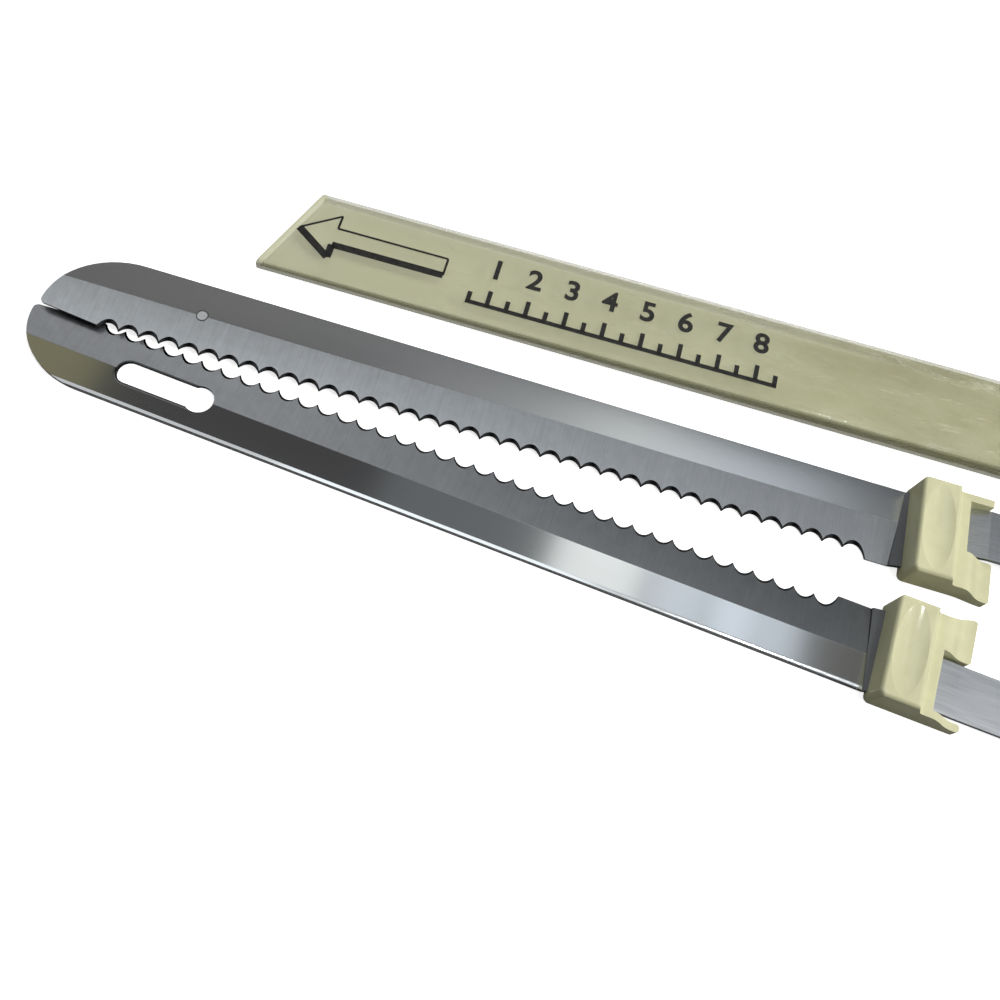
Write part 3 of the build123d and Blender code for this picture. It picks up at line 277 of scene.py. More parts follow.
class KnifeStageSettings(bpy.types.PropertyGroup):
    floor_color: FloatVectorProperty(
        name="Floor", description="Colour of the floor", subtype="COLOR",
        default=(0.86, 0.86, 0.86), min=0, max=1)
    floor_glow: FloatProperty(
        name="Floor glow", description="Light that the floor itself gives off to the camera",
        default=0.78, min=0)
    floor_bounce: FloatProperty(
        name="Floor bounce", description="Share of the light that the floor throws back on the knife",
        subtype="FACTOR", default=0.16, min=0, max=1)
    dome: FloatProperty(
        name="Dome", description="Strength of the even light from above", default=0.02, min=0)
    side_glow: FloatProperty(
        name="Side glow", description="Strength of the even light from low round the sides",
        default=0.25, min=0)
    light_scale: FloatProperty(
        name="Light scale", description="Brightness of all soft lights together", default=1.0, min=0)
    camera_place: FloatVectorProperty(
        name="Camera", description="Where the camera stands", subtype="TRANSLATION", unit="LENGTH",
        default=(17.60987 * MM, -92.57531 * MM, 225.81214 * MM), precision=5)
    camera_turn: FloatVectorProperty(
        name="Camera turn", description="The camera's rotation", subtype="EULER",
        default=(math.radians(22.4469), math.radians(-5.67519), math.radians(20.3149)))
    lens: FloatProperty(
        name="Lens", description="Focal length on a 36 mm wide sensor, in millimetres",
        default=37.1428, min=1)


# Shader building
class Finish:
    """A material under construction, with short calls for the nodes that it needs."""

    def __init__(self, name):
        self.material = bpy.data.materials.new(name)
        self.material.use_nodes = True
        self.tree = self.material.node_tree
        self.tree.nodes.clear()
        self.output = self.node("ShaderNodeOutputMaterial")
        self.shader = self.node("ShaderNodeBsdfPrincipled")
        self.link(self.shader.outputs["BSDF"], self.output.inputs["Surface"])
        self.place = self.node("ShaderNodeTexCoord").outputs["Object"]

    def node(self, kind, **settings):
        """Add a node; settings name its properties."""
        made = self.tree.nodes.new(kind)
        for name, value in settings.items():
            setattr(made, name, value)
        return made

    def link(self, source, target):
        self.tree.links.new(source, target)

    def put(self, target, value):
        """Link a socket to a socket, or set a plain value on it."""
        if isinstance(value, bpy.types.NodeSocket):
            self.link(value, target)
        elif isinstance(value, (int, float)) or target.type == "VECTOR":
            target.default_value = value
        else:
            target.default_value = (*value, 1.0)

    def set(self, **values):
        """Set the main shader's sockets by name, with underscores for spaces."""
        for name, value in values.items():
            self.put(self.shader.inputs[name.replace("_", " ")], value)

    def mapped(self, location=PLAIN, rotation=PLAIN, scale=FULL, source=None, kind="POINT"):
        """Coordinates moved, turned and scaled."""
        made = self.node("ShaderNodeMapping", vector_type=kind)
        self.link(source or self.place, made.inputs["Vector"])
        made.inputs["Location"].default_value = location
        made.inputs["Rotation"].default_value = rotation
        made.inputs["Scale"].default_value = scale
        return made.outputs["Vector"]

    def local(self, place):
        """Coordinates in a piece's own frame, from where it lies."""
        location, turn, flip = place
        return self.mapped(location, (0.0, 0.0, turn), (1.0, flip, 1.0), kind="TEXTURE")

    def noise(self, waves, detail=2.0, roughness=0.5, source=None):
        """Even noise with a number of waves to the metre."""
        made = self.node("ShaderNodeTexNoise")
        self.link(source or self.place, made.inputs["Vector"])
        made.inputs["Scale"].default_value = waves
        made.inputs["Detail"].default_value = detail
        made.inputs["Roughness"].default_value = roughness
        made.inputs["Distortion"].default_value = 0.0
        return made.outputs["Fac"]

    def drawn(self, waves, detail=2.0, roughness=0.5, source=None, turn=0.0):
        """Noise drawn out, with its own number of waves to the metre along X, Y and Z."""
        stretched = self.mapped(scale=waves, rotation=(0.0, 0.0, turn), source=source)
        return self.noise(1.0, detail, roughness, stretched)

    def math(self, operation, first, second=0.0):
        made = self.node("ShaderNodeMath", operation=operation)
        self.put(made.inputs[0], first)
        self.put(made.inputs[1], second)
        return made.outputs[0]

    def plus(self, first, second):
        return self.math("ADD", first, second)

    def minus(self, first, second):
        return self.math("SUBTRACT", first, second)

    def times(self, *factors):
        total = factors[0]
        for factor in factors[1:]:
            total = self.math("MULTIPLY", total, factor)
        return total

    def larger(self, first, second):
        return self.math("MAXIMUM", first, second)

    def opposite(self, share):
        """1 where a share is 0, and 0 where it is 1."""
        return self.spread(share, 1.0, 0.0)

    def spread(self, value, low, high, to_low=0.0, to_high=1.0):
        """Map a value from one range to another, held at both ends."""
        made = self.node("ShaderNodeMapRange")
        self.put(made.inputs["Value"], value)
        made.inputs["From Min"].default_value = low
        made.inputs["From Max"].default_value = high
        self.put(made.inputs["To Min"], to_low)
        self.put(made.inputs["To Max"], to_high)
        return made.outputs["Result"]

    def choose(self, share, first, second):
        """A number that goes from the first to the second as a share rises."""
        return self.spread(share, 0.0, 1.0, first, second)

    def blend(self, factor, first, second):
        """Mix two colours."""
        made = self.node("ShaderNodeMix", data_type="RGBA")
        self.put(made.inputs["Factor"], factor)
        self.put(made.inputs[6], first)
        self.put(made.inputs[7], second)
        return made.outputs[2]

    def between(self, field, less, more):
        """A number that a noise varies between two values."""
        return self.spread(field, NOISE_LOW, NOISE_HIGH, less, more)

    def tone(self, field, color, darker, lighter, low=NOISE_LOW, high=NOISE_HIGH):
        """A colour that a noise varies between a darker and a lighter shade of it."""
        return self.blend(self.spread(field, low, high), shade(color, darker), shade(color, lighter))

    def vary(self, field, value, less, more, low=NOISE_LOW, high=NOISE_HIGH):
        """A number that a noise varies between two multiples of it."""
        return self.spread(field, low, high, value * less, value * more)

    def axes(self, source):
        made = self.node("ShaderNodeSeparateXYZ")
        self.link(source, made.inputs[0])
        return made.outputs

    def bump(self, height, distance, strength=1.0, under=None):
        """Raise the surface by a height; under is the normal of a bump that lies below this one."""
        made = self.node("ShaderNodeBump")
        self.link(height, made.inputs["Height"])
        if under:
            self.link(under, made.inputs["Normal"])
        made.inputs["Distance"].default_value = distance
        made.inputs["Strength"].default_value = strength
        self.link(made.outputs["Normal"], self.shader.inputs["Normal"])
        return made.outputs["Normal"]

    def rise(self):
        """How far the surface faces up, from -1 to 1."""
        return self.axes(self.node("ShaderNodeNewGeometry").outputs["True Normal"])[2]

    def upward(self):
        """1 where the surface faces up, 0 on walls and undersides."""
        return self.spread(self.rise(), *FACING_UP)


def shade(color, factor):
    """A colour made lighter or darker."""
    return tuple(min(1.0, channel * factor) for channel in color)


def dress(finish, *node_names):
    """Give CAD nodes their finish."""
    for name in node_names:
        mesh = nodes[name].data
        mesh.materials.clear()
        mesh.materials.append(finish.material)


# Steel
def from_slot(look, x, y):
    """Distance from the middle line of the lower blade's slot."""
    on_line = look.spread(x, SLOT_START, SLOT_END, SLOT_START, SLOT_END)
    along = look.minus(x, on_line)
    across = look.minus(y, GROUND_WIDTH)
    return look.math("SQRT", look.plus(look.times(along, along), look.times(across, across)))


def rolled_edges(look, y, slot):
    """Height of the steel, which drops toward the tumbled spine and round the punched slot."""
    spine = look.spread(y, *SPINE_ROLL)
    rim = look.spread(slot, *SLOT_ROLL)
    drop = look.larger(look.times(spine, spine), look.times(rim, rim, SLOT_ROLL_SHARE))
    return look.minus(1.0, drop)


def blade_regions(look, x, y):
    """Shares of the blade proper, its ground band, and the walls of its scallops and slot, which take
    painted shade.
    """
    neck_line = look.times(look.minus(y, BLADE_WIDTH), NECK_SLANT)
    past_neck = look.minus(look.minus(x, neck_line), NECK_AT_SPINE)
    on_blade = look.spread(past_neck, *ON_BLADE)
    ground = look.times(look.spread(y, *IN_GROUND_BAND), on_blade, look.upward())
    inside = look.times(look.spread(y, *INSIDE_SPINE), look.spread(x, *INSIDE_TIP))
    painted_wall_shade = look.times(look.opposite(look.upward()), inside, on_blade)
    return on_blade, ground, painted_wall_shade


def grinding(look, local, spacing):
    """The grinding lines alone, and the whole uneven grey of the ground band."""
    waves = (1.0 / spacing, GRINDING_SPREAD, GRINDING_SPREAD)
    lines = look.drawn(waves, detail=3.0, roughness=0.65, source=local, turn=GRINDING_TURN)
    broad = look.drawn(BROAD_WAVES, source=local)
    mottle = look.noise(MOTTLE_WAVES, detail=3.0, roughness=0.6, source=local)
    streaks = look.plus(look.times(lines, LINE_SHARE), look.times(broad, BROAD_SHARE))
    return lines, look.plus(streaks, look.times(mottle, MOTTLE_SHARE))


def blade_finish(name, place, polish, heel_painted_shade, slotted):
    """Blade steel: cross-ground by the edge, polished by the spine, brushed on neck and tang."""
    steel = bpy.context.scene.knife_steel
    look = Finish(name)
    local = look.local(place)
    x, y, _ = look.axes(local)
    on_blade, ground, painted_wall_shade = blade_regions(look, x, y)
    lines, streaks = grinding(look, local, steel.grind_spacing)
    smears = look.drawn(SMEAR_WAVES, detail=3.0, source=local)
    brushed = look.drawn(BRUSHED_WAVES, detail=3.0, roughness=0.6, source=local)

    # Painted shade: the ground band darkens toward the guard, down to SHADOW_STEEL
    painted_heel_shade = look.spread(x, *HEEL_SHADE_REACH, 0.0, heel_painted_shade)
    ground_color = look.tone(
        streaks, steel.ground_color, darker=0.88, lighter=1.09, low=0.36, high=0.64)
    ground_color = look.blend(painted_heel_shade, ground_color, SHADOW_STEEL)
    polished_color = look.tone(smears, steel.polished_color, darker=0.97, lighter=1.02, low=0.35)
    tang_color = look.tone(brushed, steel.ground_color, darker=0.88, lighter=1.10)
    # Painted shade on the neck in front of the guard, fading out into the brushed tang
    neck_painted_shade = shade(steel.ground_color, NECK_SHADE)
    tang_color = look.blend(look.spread(x, *INSIDE_GUARD), neck_painted_shade, tang_color)
    plain_color = look.blend(on_blade, tang_color, polished_color)

    ground_roughness = look.vary(streaks, steel.ground_roughness, less=0.88, more=1.12)
    polished_roughness = look.vary(smears, polish, less=0.98, more=1.06, high=0.75)
    tang_roughness = look.vary(brushed, steel.tang_roughness, less=0.85, more=1.2)
    plain_roughness = look.choose(on_blade, tang_roughness, polished_roughness)

    rolled = None
    if slotted:
        slot = from_slot(look, x, y)
        # A painted dark ring just inside the slot's edge joins the painted shade of the walls
        painted_wall_shade = look.larger(painted_wall_shade, look.spread(slot, *SLOT_RIM))
        rolled = look.bump(look.times(rolled_edges(look, y, slot), on_blade), distance=0.12 * MM)
    face_color = look.blend(ground, plain_color, ground_color)
    look.set(
        # The walls of the scallops and the ring in the slot take painted shade
        Base_Color=look.blend(painted_wall_shade, face_color, shade(steel.ground_color, CUT_SHADE)),
        Metallic=1.0,
        Roughness=look.choose(ground, plain_roughness, ground_roughness),
        Anisotropic=0.9,
    )
    _, turn, _ = place
    along = look.node("ShaderNodeCombineXYZ")
    along.inputs[0].default_value = math.cos(turn)
    along.inputs[1].default_value = math.sin(turn)
    look.set(Tangent=along.outputs[0])
    look.bump(look.times(lines, ground), distance=0.02 * MM, strength=0.3, under=rolled)
    return look


def stud_finish(place):
    """The rivet's light turned face with a ring of painted shade where it meets the blade."""
    steel = bpy.context.scene.knife_steel
    look = Finish("stud_steel")
    x, y, _ = look.axes(look.local(place))
    flat = look.node("ShaderNodeCombineXYZ")
    look.link(x, flat.inputs[0])
    look.link(y, flat.inputs[1])
    from_axis = look.node("ShaderNodeVectorMath", operation="DISTANCE")
    look.link(flat.outputs[0], from_axis.inputs[0])
    from_axis.inputs[1].default_value = (STUD_FROM_GUARD, STUD_FROM_EDGE, 0.0)
    # Painted shade: a dark ring round the edge of the stud's face
    rim = look.spread(from_axis.outputs["Value"], *STUD_RIM)
    turned = look.drawn(TURNED_WAVES, source=flat.outputs[0])
    face = look.tone(turned, steel.polished_color, darker=0.92, lighter=1.2)
    look.set(
        Base_Color=look.blend(rim, face, shade(steel.ground_color, STUD_RIM_SHADE)),
        Metallic=1.0,
        Roughness=look.between(turned, 0.30, 0.44),
    )
    look.bump(turned, distance=0.01 * MM, strength=0.4)
    return look


def machined_finish(name, color, roughness, spacing=0.35 * MM):
    """Turned or drawn metal with fine lines round the X axis."""
    look = Finish(name)
    lines = look.drawn((1.0 / spacing, MACHINED_SPREAD, MACHINED_SPREAD))
    look.set(
        Base_Color=look.tone(lines, color, darker=0.85, lighter=1.1),
        Metallic=1.0,
        Roughness=look.vary(lines, roughness, less=0.8, more=1.25),
    )
    look.bump(lines, distance=0.01 * MM, strength=0.4)
    return look


def cast_finish(name, color, roughness, metallic, grain):
    """Cast or pressed surface with an even grain."""
    look = Finish(name)
    speckle = look.noise(1.0 / grain, detail=3.0, roughness=0.6)
    patches = look.noise(PATCH_WAVES)
    mixed = look.plus(look.times(speckle, 0.5), look.times(patches, 0.5))
    look.set(
        Base_Color=look.tone(mixed, color, darker=0.86, lighter=1.12),
        Metallic=metallic,
        Roughness=look.vary(speckle, roughness, less=0.85, more=1.15),
    )
    look.bump(speckle, distance=0.02 * MM, strength=0.4)
    return look


def laminated_finish(name, color, sheet):
    """Stacked steel sheets with their joints showing across X."""
    look = Finish(name)
    x = look.axes(look.place)[0]
    joints = look.math("SINE", look.times(x, 2.0 * math.pi / sheet))
    grime = look.noise(SHEET_GRIME_WAVES, detail=3.0)
    look.set(
        Base_Color=look.tone(grime, color, darker=0.75, lighter=1.15),
        Metallic=0.8,
        Roughness=look.between(grime, 0.38, 0.55),
    )
    look.bump(look.spread(joints, *SHEET_JOINT), distance=0.05 * MM, strength=0.6)
    return look


def winding_finish(name, color, wire):
    """Enamelled wire laid side by side across Y and Z."""
    look = Finish(name)
    _, y, z = look.axes(look.place)
    turns = look.math("SINE", look.times(look.plus(y, z), 2.0 * math.pi / wire))
    varnish = look.noise(VARNISH_WAVES)
    look.set(
        Base_Color=look.tone(varnish, color, darker=0.7, lighter=1.2),
        Metallic=0.6,
        Roughness=look.between(varnish, 0.25, 0.42),
        Coat_Weight=0.4,
    )
    look.bump(turns, distance=0.12 * MM, strength=0.8)
    return look


# Plastics
def guard_finish(name):
    """Glossy almond plastic with slight sink marks and specks of wear."""
    almond = bpy.context.scene.knife_plastic.almond_color
    look = Finish(name)
    clouds = look.noise(GUARD_CLOUD_WAVES, detail=3.0)
    specks = look.spread(look.noise(SPECK_WAVES, detail=1.0), *SPECK_CREST)
    body = look.tone(clouds, almond, darker=0.95, lighter=1.04, low=0.35, high=0.65)
    look.set(
        Base_Color=look.blend(specks, body, shade(almond, SPECK_SHADE)),
        Roughness=look.between(look.noise(GUARD_GLOSS_WAVES, detail=3.0), 0.11, 0.18),
    )
    look.bump(look.noise(SINK_WAVES), distance=0.03 * MM, strength=0.2)
    return look


def moulded_finish(name, color, grain, roughness, coat=0.0):
    """Moulded plastic with a fine grain, rubbed smoother in patches."""
    look = Finish(name)
    cells = look.noise(1.0 / grain, roughness=0.7)
    rubbed = look.noise(RUBBED_WAVES, detail=3.0)
    look.set(
        Base_Color=look.tone(rubbed, color, darker=0.97, lighter=1.02, low=0.35, high=0.65),
        Roughness=look.vary(rubbed, roughness, less=0.85, more=1.15, low=0.35, high=0.65),
        Coat_Weight=coat,
    )
    look.bump(cells, distance=0.05 * MM, strength=0.35)
    return look


def sheath_finish():
    """Yellowed clear plastic, deeper in its floor, with painted shade on side walls and cut end,
    scuffed toward the mouth.
    """
    sheath = bpy.context.scene.knife_sheath
    look = Finish("yellowed_clear_plastic")
    local = look.local(SHEATH_PLACE)
    x, y, z = look.axes(local)
    clouds = look.noise(CLOUD_WAVES, detail=4.0, source=local)
    grime = look.drawn(GRIME_WAVES, detail=5.0, roughness=0.6, source=local)
    scuffs = look.drawn(SCUFF_WAVES, detail=5.0, roughness=0.7, source=local)

    toward_mouth = look.spread(x, *TOWARD_MOUTH)
    scuffed = look.choose(toward_mouth, SCRATCHES_AT_TIP, SCRATCHES_AT_MOUTH)
    scratches = look.times(look.spread(scuffs, *SCUFF_CREST), scuffed)
    side = look.spread(look.math("ABSOLUTE", look.rise()), *SIDE_WALL)
    floor = look.times(look.spread(z, *SHEATH_FLOOR), look.opposite(side))
    top = look.spread(z, *SHEATH_TOP)
    from_end = look.minus(x, look.times(y, SHEATH_SLANT / SHEATH_WIDTH))
    tip_band = look.times(look.spread(from_end, *TIP_BAND), top)
    cut_line_shade = look.times(look.spread(from_end, *CUT_LINE), top)

    stained = look.times(toward_mouth, look.spread(grime, *GRIME_CREST))
    body = look.blend(stained, sheath.tint, sheath.mouth_tint)
    # Painted shade: the plastic darkens along the cut line at the slanted end and on the side walls
    body = look.blend(look.times(cut_line_shade, CUT_LINE_SHADE_MIX), body, sheath.mouth_tint)
    body = look.blend(look.times(side, SIDE_SHADE_MIX), body, shade(sheath.mouth_tint, SIDE_SHADE))
    cover = look.plus(sheath.haze, look.times(scratches, SCRATCH_COVER))
    cover = look.plus(cover, look.times(toward_mouth, look.between(clouds, 0.0, 1.0), CLOUD_COVER))
    cover = look.choose(side, cover, SIDE_COVER)
    cover = look.choose(tip_band, cover, TIP_BAND_COVER)
    look.set(
        Base_Color=look.blend(scratches, body, SCRATCHED_PLASTIC),
        Roughness=look.choose(scratches, 0.10, 0.38),
        Alpha=look.choose(floor, cover, sheath.depth),
        Coat_Weight=0.5,
        Coat_Roughness=0.05,
    )
    look.bump(look.plus(look.times(clouds, 0.5), scratches), distance=0.05 * MM, strength=0.5)
    return look


def ink_finish():
    """Make the black screen-print ink, a little uneven, which every printed piece takes by name."""
    look = Finish(INK_NAME)
    wear = look.noise(INK_WEAR_WAVES, detail=3.0)
    look.set(
        Base_Color=look.blend(look.between(wear, 0.0, 1.0), INK_DARK, INK_LIGHT),
        Roughness=look.between(wear, 0.38, 0.55),
        Specular_IOR_Level=0.2,
    )


# Sheath print
def on_sheath(x, y, lift=0.0):
    """A point of the sheath's own frame, on its rising top, in the frame's place."""
    location, turn, _ = SHEATH_PLACE
    flat = Matrix.Rotation(turn, 3, "Z") @ Vector((x, y, 0.0))
    rise = (SHEATH_MOUTH_HEIGHT - SHEATH_TIP_HEIGHT) / SHEATH_LENGTH
    return location + flat + Vector((0.0, 0.0, SHEATH_TIP_HEIGHT + rise * x + lift))


def ink_plate(build, outline):
    """One printed patch: a thin raised plate with the given outline."""
    low = [build.verts.new(on_sheath(x, y, INK_LIFT)) for x, y in outline]
    high = [build.verts.new(on_sheath(x, y, INK_LIFT + INK_DEPTH)) for x, y in outline]
    build.faces.new(low[::-1])
    build.faces.new(high)
    for corner in range(len(outline)):
        following = (corner + 1) % len(outline)
        build.faces.new((low[corner], low[following], high[following], high[corner]))


def ink_line(build, start, end, width):
    """A straight printed line between two points."""
    start, end = Vector(start), Vector(end)
    side = (end - start).normalized().orthogonal() * width / 2
    ink_plate(build, [tuple(start - side), tuple(end - side), tuple(end + side), tuple(start + side)])


def print_piece(name, build):
    """Turn a finished print into a piece that rides with the sheath."""
    bmesh.ops.recalc_face_normals(build, faces=build.faces)
    mesh = bpy.data.meshes.new(name)
    build.to_mesh(mesh)
    build.free()
    piece = bpy.data.objects.new(name, mesh)
    bpy.context.scene.collection.objects.link(piece)
    mesh.materials.append(bpy.data.materials[INK_NAME])
    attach(piece, "sheath")


def number_mesh(number, height):
    """A flat plain number, centred on X 0 and standing on Y 0."""
    words = bpy.data.curves.new("number", "FONT")
    words.body = str(number)
    words.size = height * FONT_SIZE_PER_HEIGHT
    words.align_x = "CENTER"
    words.offset = NUMBER_WEIGHT
    words.extrude = INK_DEPTH / 2
    source = bpy.data.objects.new("number", words)
    bpy.context.scene.collection.objects.link(source)
    bpy.context.view_layer.update()
    flat = bpy.data.meshes.new_from_object(source)
    bpy.data.objects.remove(source)
    return flat


# Operators, one for each group of pieces
class KNIFE_OT_blades(bpy.types.Operator):
    """Give both blades their ground and polished steel, and the guide stud its own"""
    bl_idname = "knife.blades"
    bl_label = "Blades"

    def execute(self, context):
        steel = context.scene.knife_steel
        upper = blade_finish(
            "upper_blade_steel", UPPER_PLACE, steel.upper_polish, steel.upper_heel, slotted=False)
        lower = blade_finish(
            "lower_blade_steel", LOWER_PLACE, steel.lower_polish, steel.lower_heel, slotted=True)
        dress(upper, "upper_blade")
        dress(lower, "lower_blade")
        dress(stud_finish(UPPER_PLACE), "guide_stud")
        return {"FINISHED"}


class KNIFE_OT_guards(bpy.types.Operator):
    """Give both thumb guards their almond plastic"""
    bl_idname = "knife.guards"
    bl_label = "Guards"

    def execute(self, context):
        dress(guard_finish("guard_plastic"), "upper_guard", "lower_guard")
        return {"FINISHED"}


class KNIFE_OT_sheath(bpy.types.Operator):
    """Give the sheath its yellowed plastic and a plain printed arrow and scale"""
    bl_idname = "knife.sheath"
    bl_label = "Sheath"

    def execute(self, context):
        sheath = context.scene.knife_sheath
        dress(sheath_finish(), "blade_sheath")
        ink_finish()
        self.arrow(sheath.line_width)
        self.ticks(sheath)
        self.numbers(sheath)
        return {"FINISHED"}

    def arrow(self, width):
        """A straight outlined arrow that points to the tip end, its lower side drawn heavier."""
        neck = ARROW_TIP + ARROW_HEAD
        outline = [
            (ARROW_TIP, ARROW_MIDDLE),
            (neck, ARROW_MIDDLE + ARROW_BARB), (neck, ARROW_MIDDLE + ARROW_SHAFT),
            (ARROW_TAIL, ARROW_MIDDLE + ARROW_SHAFT), (ARROW_TAIL, ARROW_MIDDLE - ARROW_SHAFT),
            (neck, ARROW_MIDDLE - ARROW_SHAFT), (neck, ARROW_MIDDLE - ARROW_BARB),
        ]
        build = bmesh.new()
        for start, end in zip(outline, outline[1:] + outline[:1]):
            lower_side = start[1] <= ARROW_MIDDLE and end[1] <= ARROW_MIDDLE
            ink_line(build, start, end, width * (HEAVY_LINE if lower_side else LIGHT_LINE))
        print_piece("sheath_arrow", build)

    def ticks(self, sheath):
        """The scale's base line with its long and short marks."""
        build = bmesh.new()
        steps = 2 * sheath.number_count
        for turn in range(steps + 1):
            x = SCALE_START + SCALE_STEP * turn
            height = LONG_MARK if turn % 2 else SHORT_MARK
            ink_line(build, (x, SCALE_LOW), (x, SCALE_LOW + height), sheath.line_width)
        left = SCALE_START - sheath.line_width / 2
        right = SCALE_START + SCALE_STEP * steps + sheath.line_width / 2
        ink_line(build, (left, SCALE_LOW), (right, SCALE_LOW), sheath.line_width)
        print_piece("sheath_scale", build)

    def numbers(self, sheath):
        """Plain numbers above the long marks."""
        for turn in range(sheath.number_count):
            x = SCALE_START + SCALE_STEP * (2 * turn + 1)
            flat = number_mesh(turn + 1, sheath.number_height)
            for vertex in flat.vertices:
                lift = INK_LIFT + INK_DEPTH / 2 + vertex.co.z
                vertex.co = on_sheath(x + vertex.co.x, NUMBER_LOW + vertex.co.y, lift)
            build = bmesh.new()
            build.from_mesh(flat)
            bmesh.ops.remove_doubles(build, verts=build.verts, dist=JOIN_DISTANCE)
            bpy.data.meshes.remove(flat)
            print_piece(f"sheath_number_{turn + 1}", build)


class KNIFE_OT_housing(bpy.types.Operator):
    """Give the handle's outer pieces their plastics and plated steel"""
    bl_idname = "knife.housing"
    bl_label = "Handle outside"

    def execute(self, context):
        plastic = context.scene.knife_plastic
        shell = moulded_finish(
            "housing_plastic", plastic.almond_color, grain=plastic.grain_size, roughness=0.42)
        buttons = moulded_finish(
            "button_plastic", plastic.button_color, grain=0.6 * MM, roughness=0.36, coat=0.2)
        dark = moulded_finish("dark_plastic", plastic.dark_color, grain=0.5 * MM, roughness=0.5)
        dress(shell, "housing_left", "housing_right")
        dress(buttons, "trigger", "left_release_button", "right_release_button")
        dress(dark, "nose_bezel", "inlet_socket", "switch_body", "switch_plunger", "cooling_fan")
        dress(machined_finish("plated_screw_steel", SCREW_STEEL, roughness=0.24), "housing_screws")
        dress(machined_finish("inlet_brass", BRASS, roughness=0.22), "inlet_pins")
        return {"FINISHED"}


class KNIFE_OT_motor(bpy.types.Operator):
    """Give the motor's pieces their metals, wire and carbon"""
    bl_idname = "knife.motor"
    bl_label = "Motor"

    def execute(self, context):
        carbon = cast_finish("brush_carbon", CARBON, roughness=0.55, metallic=0.0, grain=0.3 * MM)
        bronze = cast_finish("bearing_bronze", BRONZE, roughness=0.42, metallic=1.0, grain=0.35 * MM)
        dress(machined_finish("shaft_steel", SHAFT_STEEL, roughness=0.26), "motor_shaft")
        for name in ("armature_core", "field_core"):
            dress(laminated_finish(f"{name}_sheets", SHEET_STEEL, sheet=0.8 * MM), name)
        dress(winding_finish("armature_wire", COPPER_WIRE, wire=0.5 * MM), "armature_windings")
        dress(winding_finish("field_wire", COPPER_WIRE, wire=0.5 * MM), "field_coils")
        dress(machined_finish("commutator_copper", COPPER_BAR, roughness=0.3), "commutator")
        dress(carbon, "carbon_brushes")
        dress(machined_finish("holder_brass", BRASS, roughness=0.28), "brush_holders")
        dress(bronze, "front_bearing", "back_bearing")
        return {"FINISHED"}


class KNIFE_OT_drive(bpy.types.Operator):
    """Give the gear train, carriers and springs their nylon, casting and wire"""
    bl_idname = "knife.drive"
    bl_label = "Drive"

    def execute(self, context):
        nylon = moulded_finish("white_nylon", NYLON, grain=0.8 * MM, roughness=0.38)
        spring = machined_finish("spring_wire", SPRING_STEEL, roughness=0.25)
        alloy = cast_finish("die_cast_alloy", CAST_ALLOY, roughness=0.46, metallic=1.0, grain=0.4 * MM)
        dress(alloy, "gear_frame")
        dress(nylon, "worm_wheel", "left_carrier", "right_carrier")
        dress(spring, "trigger_spring", "release_springs", "brush_springs")
        return {"FINISHED"}


# Soft lights, all level and facing down from one height: name, then the reach in X and in Y
# for each metre of height, the radiance and the colour
LIGHT_HEIGHT = 1.2
SOFT_LIGHTS = (
    ("right_key", (0.9, 1.6), (-0.4, 0.3), 14.5, (1.0, 0.99, 0.97)),
    ("back_key", (-0.4, 0.4), (1.3, 2.2), 10.0, (1.0, 1.0, 0.98)),
    ("small_lamp", (0.27, 0.32), (0.13, 0.18), 160.0, (1.0, 1.0, 1.0)),
    ("left_ceiling", (-1.00, -0.3), (0.00, 0.33), 0.70, (0.96, 0.99, 1.0)),
    ("middle_ceiling", (-0.3, 0.1), (0.00, 0.33), 1.30, (0.93, 0.98, 1.0)),
    ("right_ceiling", (0.1, 0.5), (0.00, 0.33), 0.70, (0.93, 0.98, 1.0)),
    ("left_pane", (0.037, 0.155), (0.345, 0.62), 1.10, (0.97, 1.0, 0.98)),
    ("middle_pane", (0.165, 0.235), (0.345, 0.62), 0.90, (0.86, 0.93, 1.0)),
    ("right_pane", (0.243, 0.30), (0.345, 0.62), 1.08, (0.85, 0.93, 1.0)),
    ("window_edge", (0.305, 0.36), (0.345, 0.62), 0.86, (0.84, 0.92, 1.0)),
    ("right_wall", (0.36, 0.50), (0.345, 0.62), 0.12, (1.0, 0.98, 0.88)),
    ("middle_wall", (-0.19, 0.037), (0.345, 0.45), 0.15, (0.90, 0.97, 1.0)),
    ("dark_wall", (-0.575, -0.19), (0.345, 0.45), 0.05, (1.0, 0.98, 1.0)),
    ("tip_wall", (-0.95, -0.575), (0.345, 0.45), 0.22, (1.0, 0.94, 0.55)),
    ("middle_shelf", (-0.19, 0.037), (0.45, 0.62), 0.27, (0.95, 0.98, 1.0)),
    ("left_shelf", (-0.95, -0.19), (0.45, 0.62), 0.15, (1.0, 0.98, 0.97)),
    ("far_left_card", (-1.20, -0.4), (0.64, 1.10), 0.78, (1.0, 1.0, 1.0)),
    ("right_card", (0.60, 0.88), (0.10, 0.60), 0.9, (0.97, 0.98, 1.0)),
)

# The floor, the heights between which the side glow fades into the dome, and the camera
FLOOR_REACH = 6.0
FLOOR_DROP = -0.02 * MM
GLOW_END = 0.45
DOME_START = 0.65
SENSOR_WIDTH = 36.0
NEAREST_SEEN = 0.005
FARTHEST_SEEN = 50.0


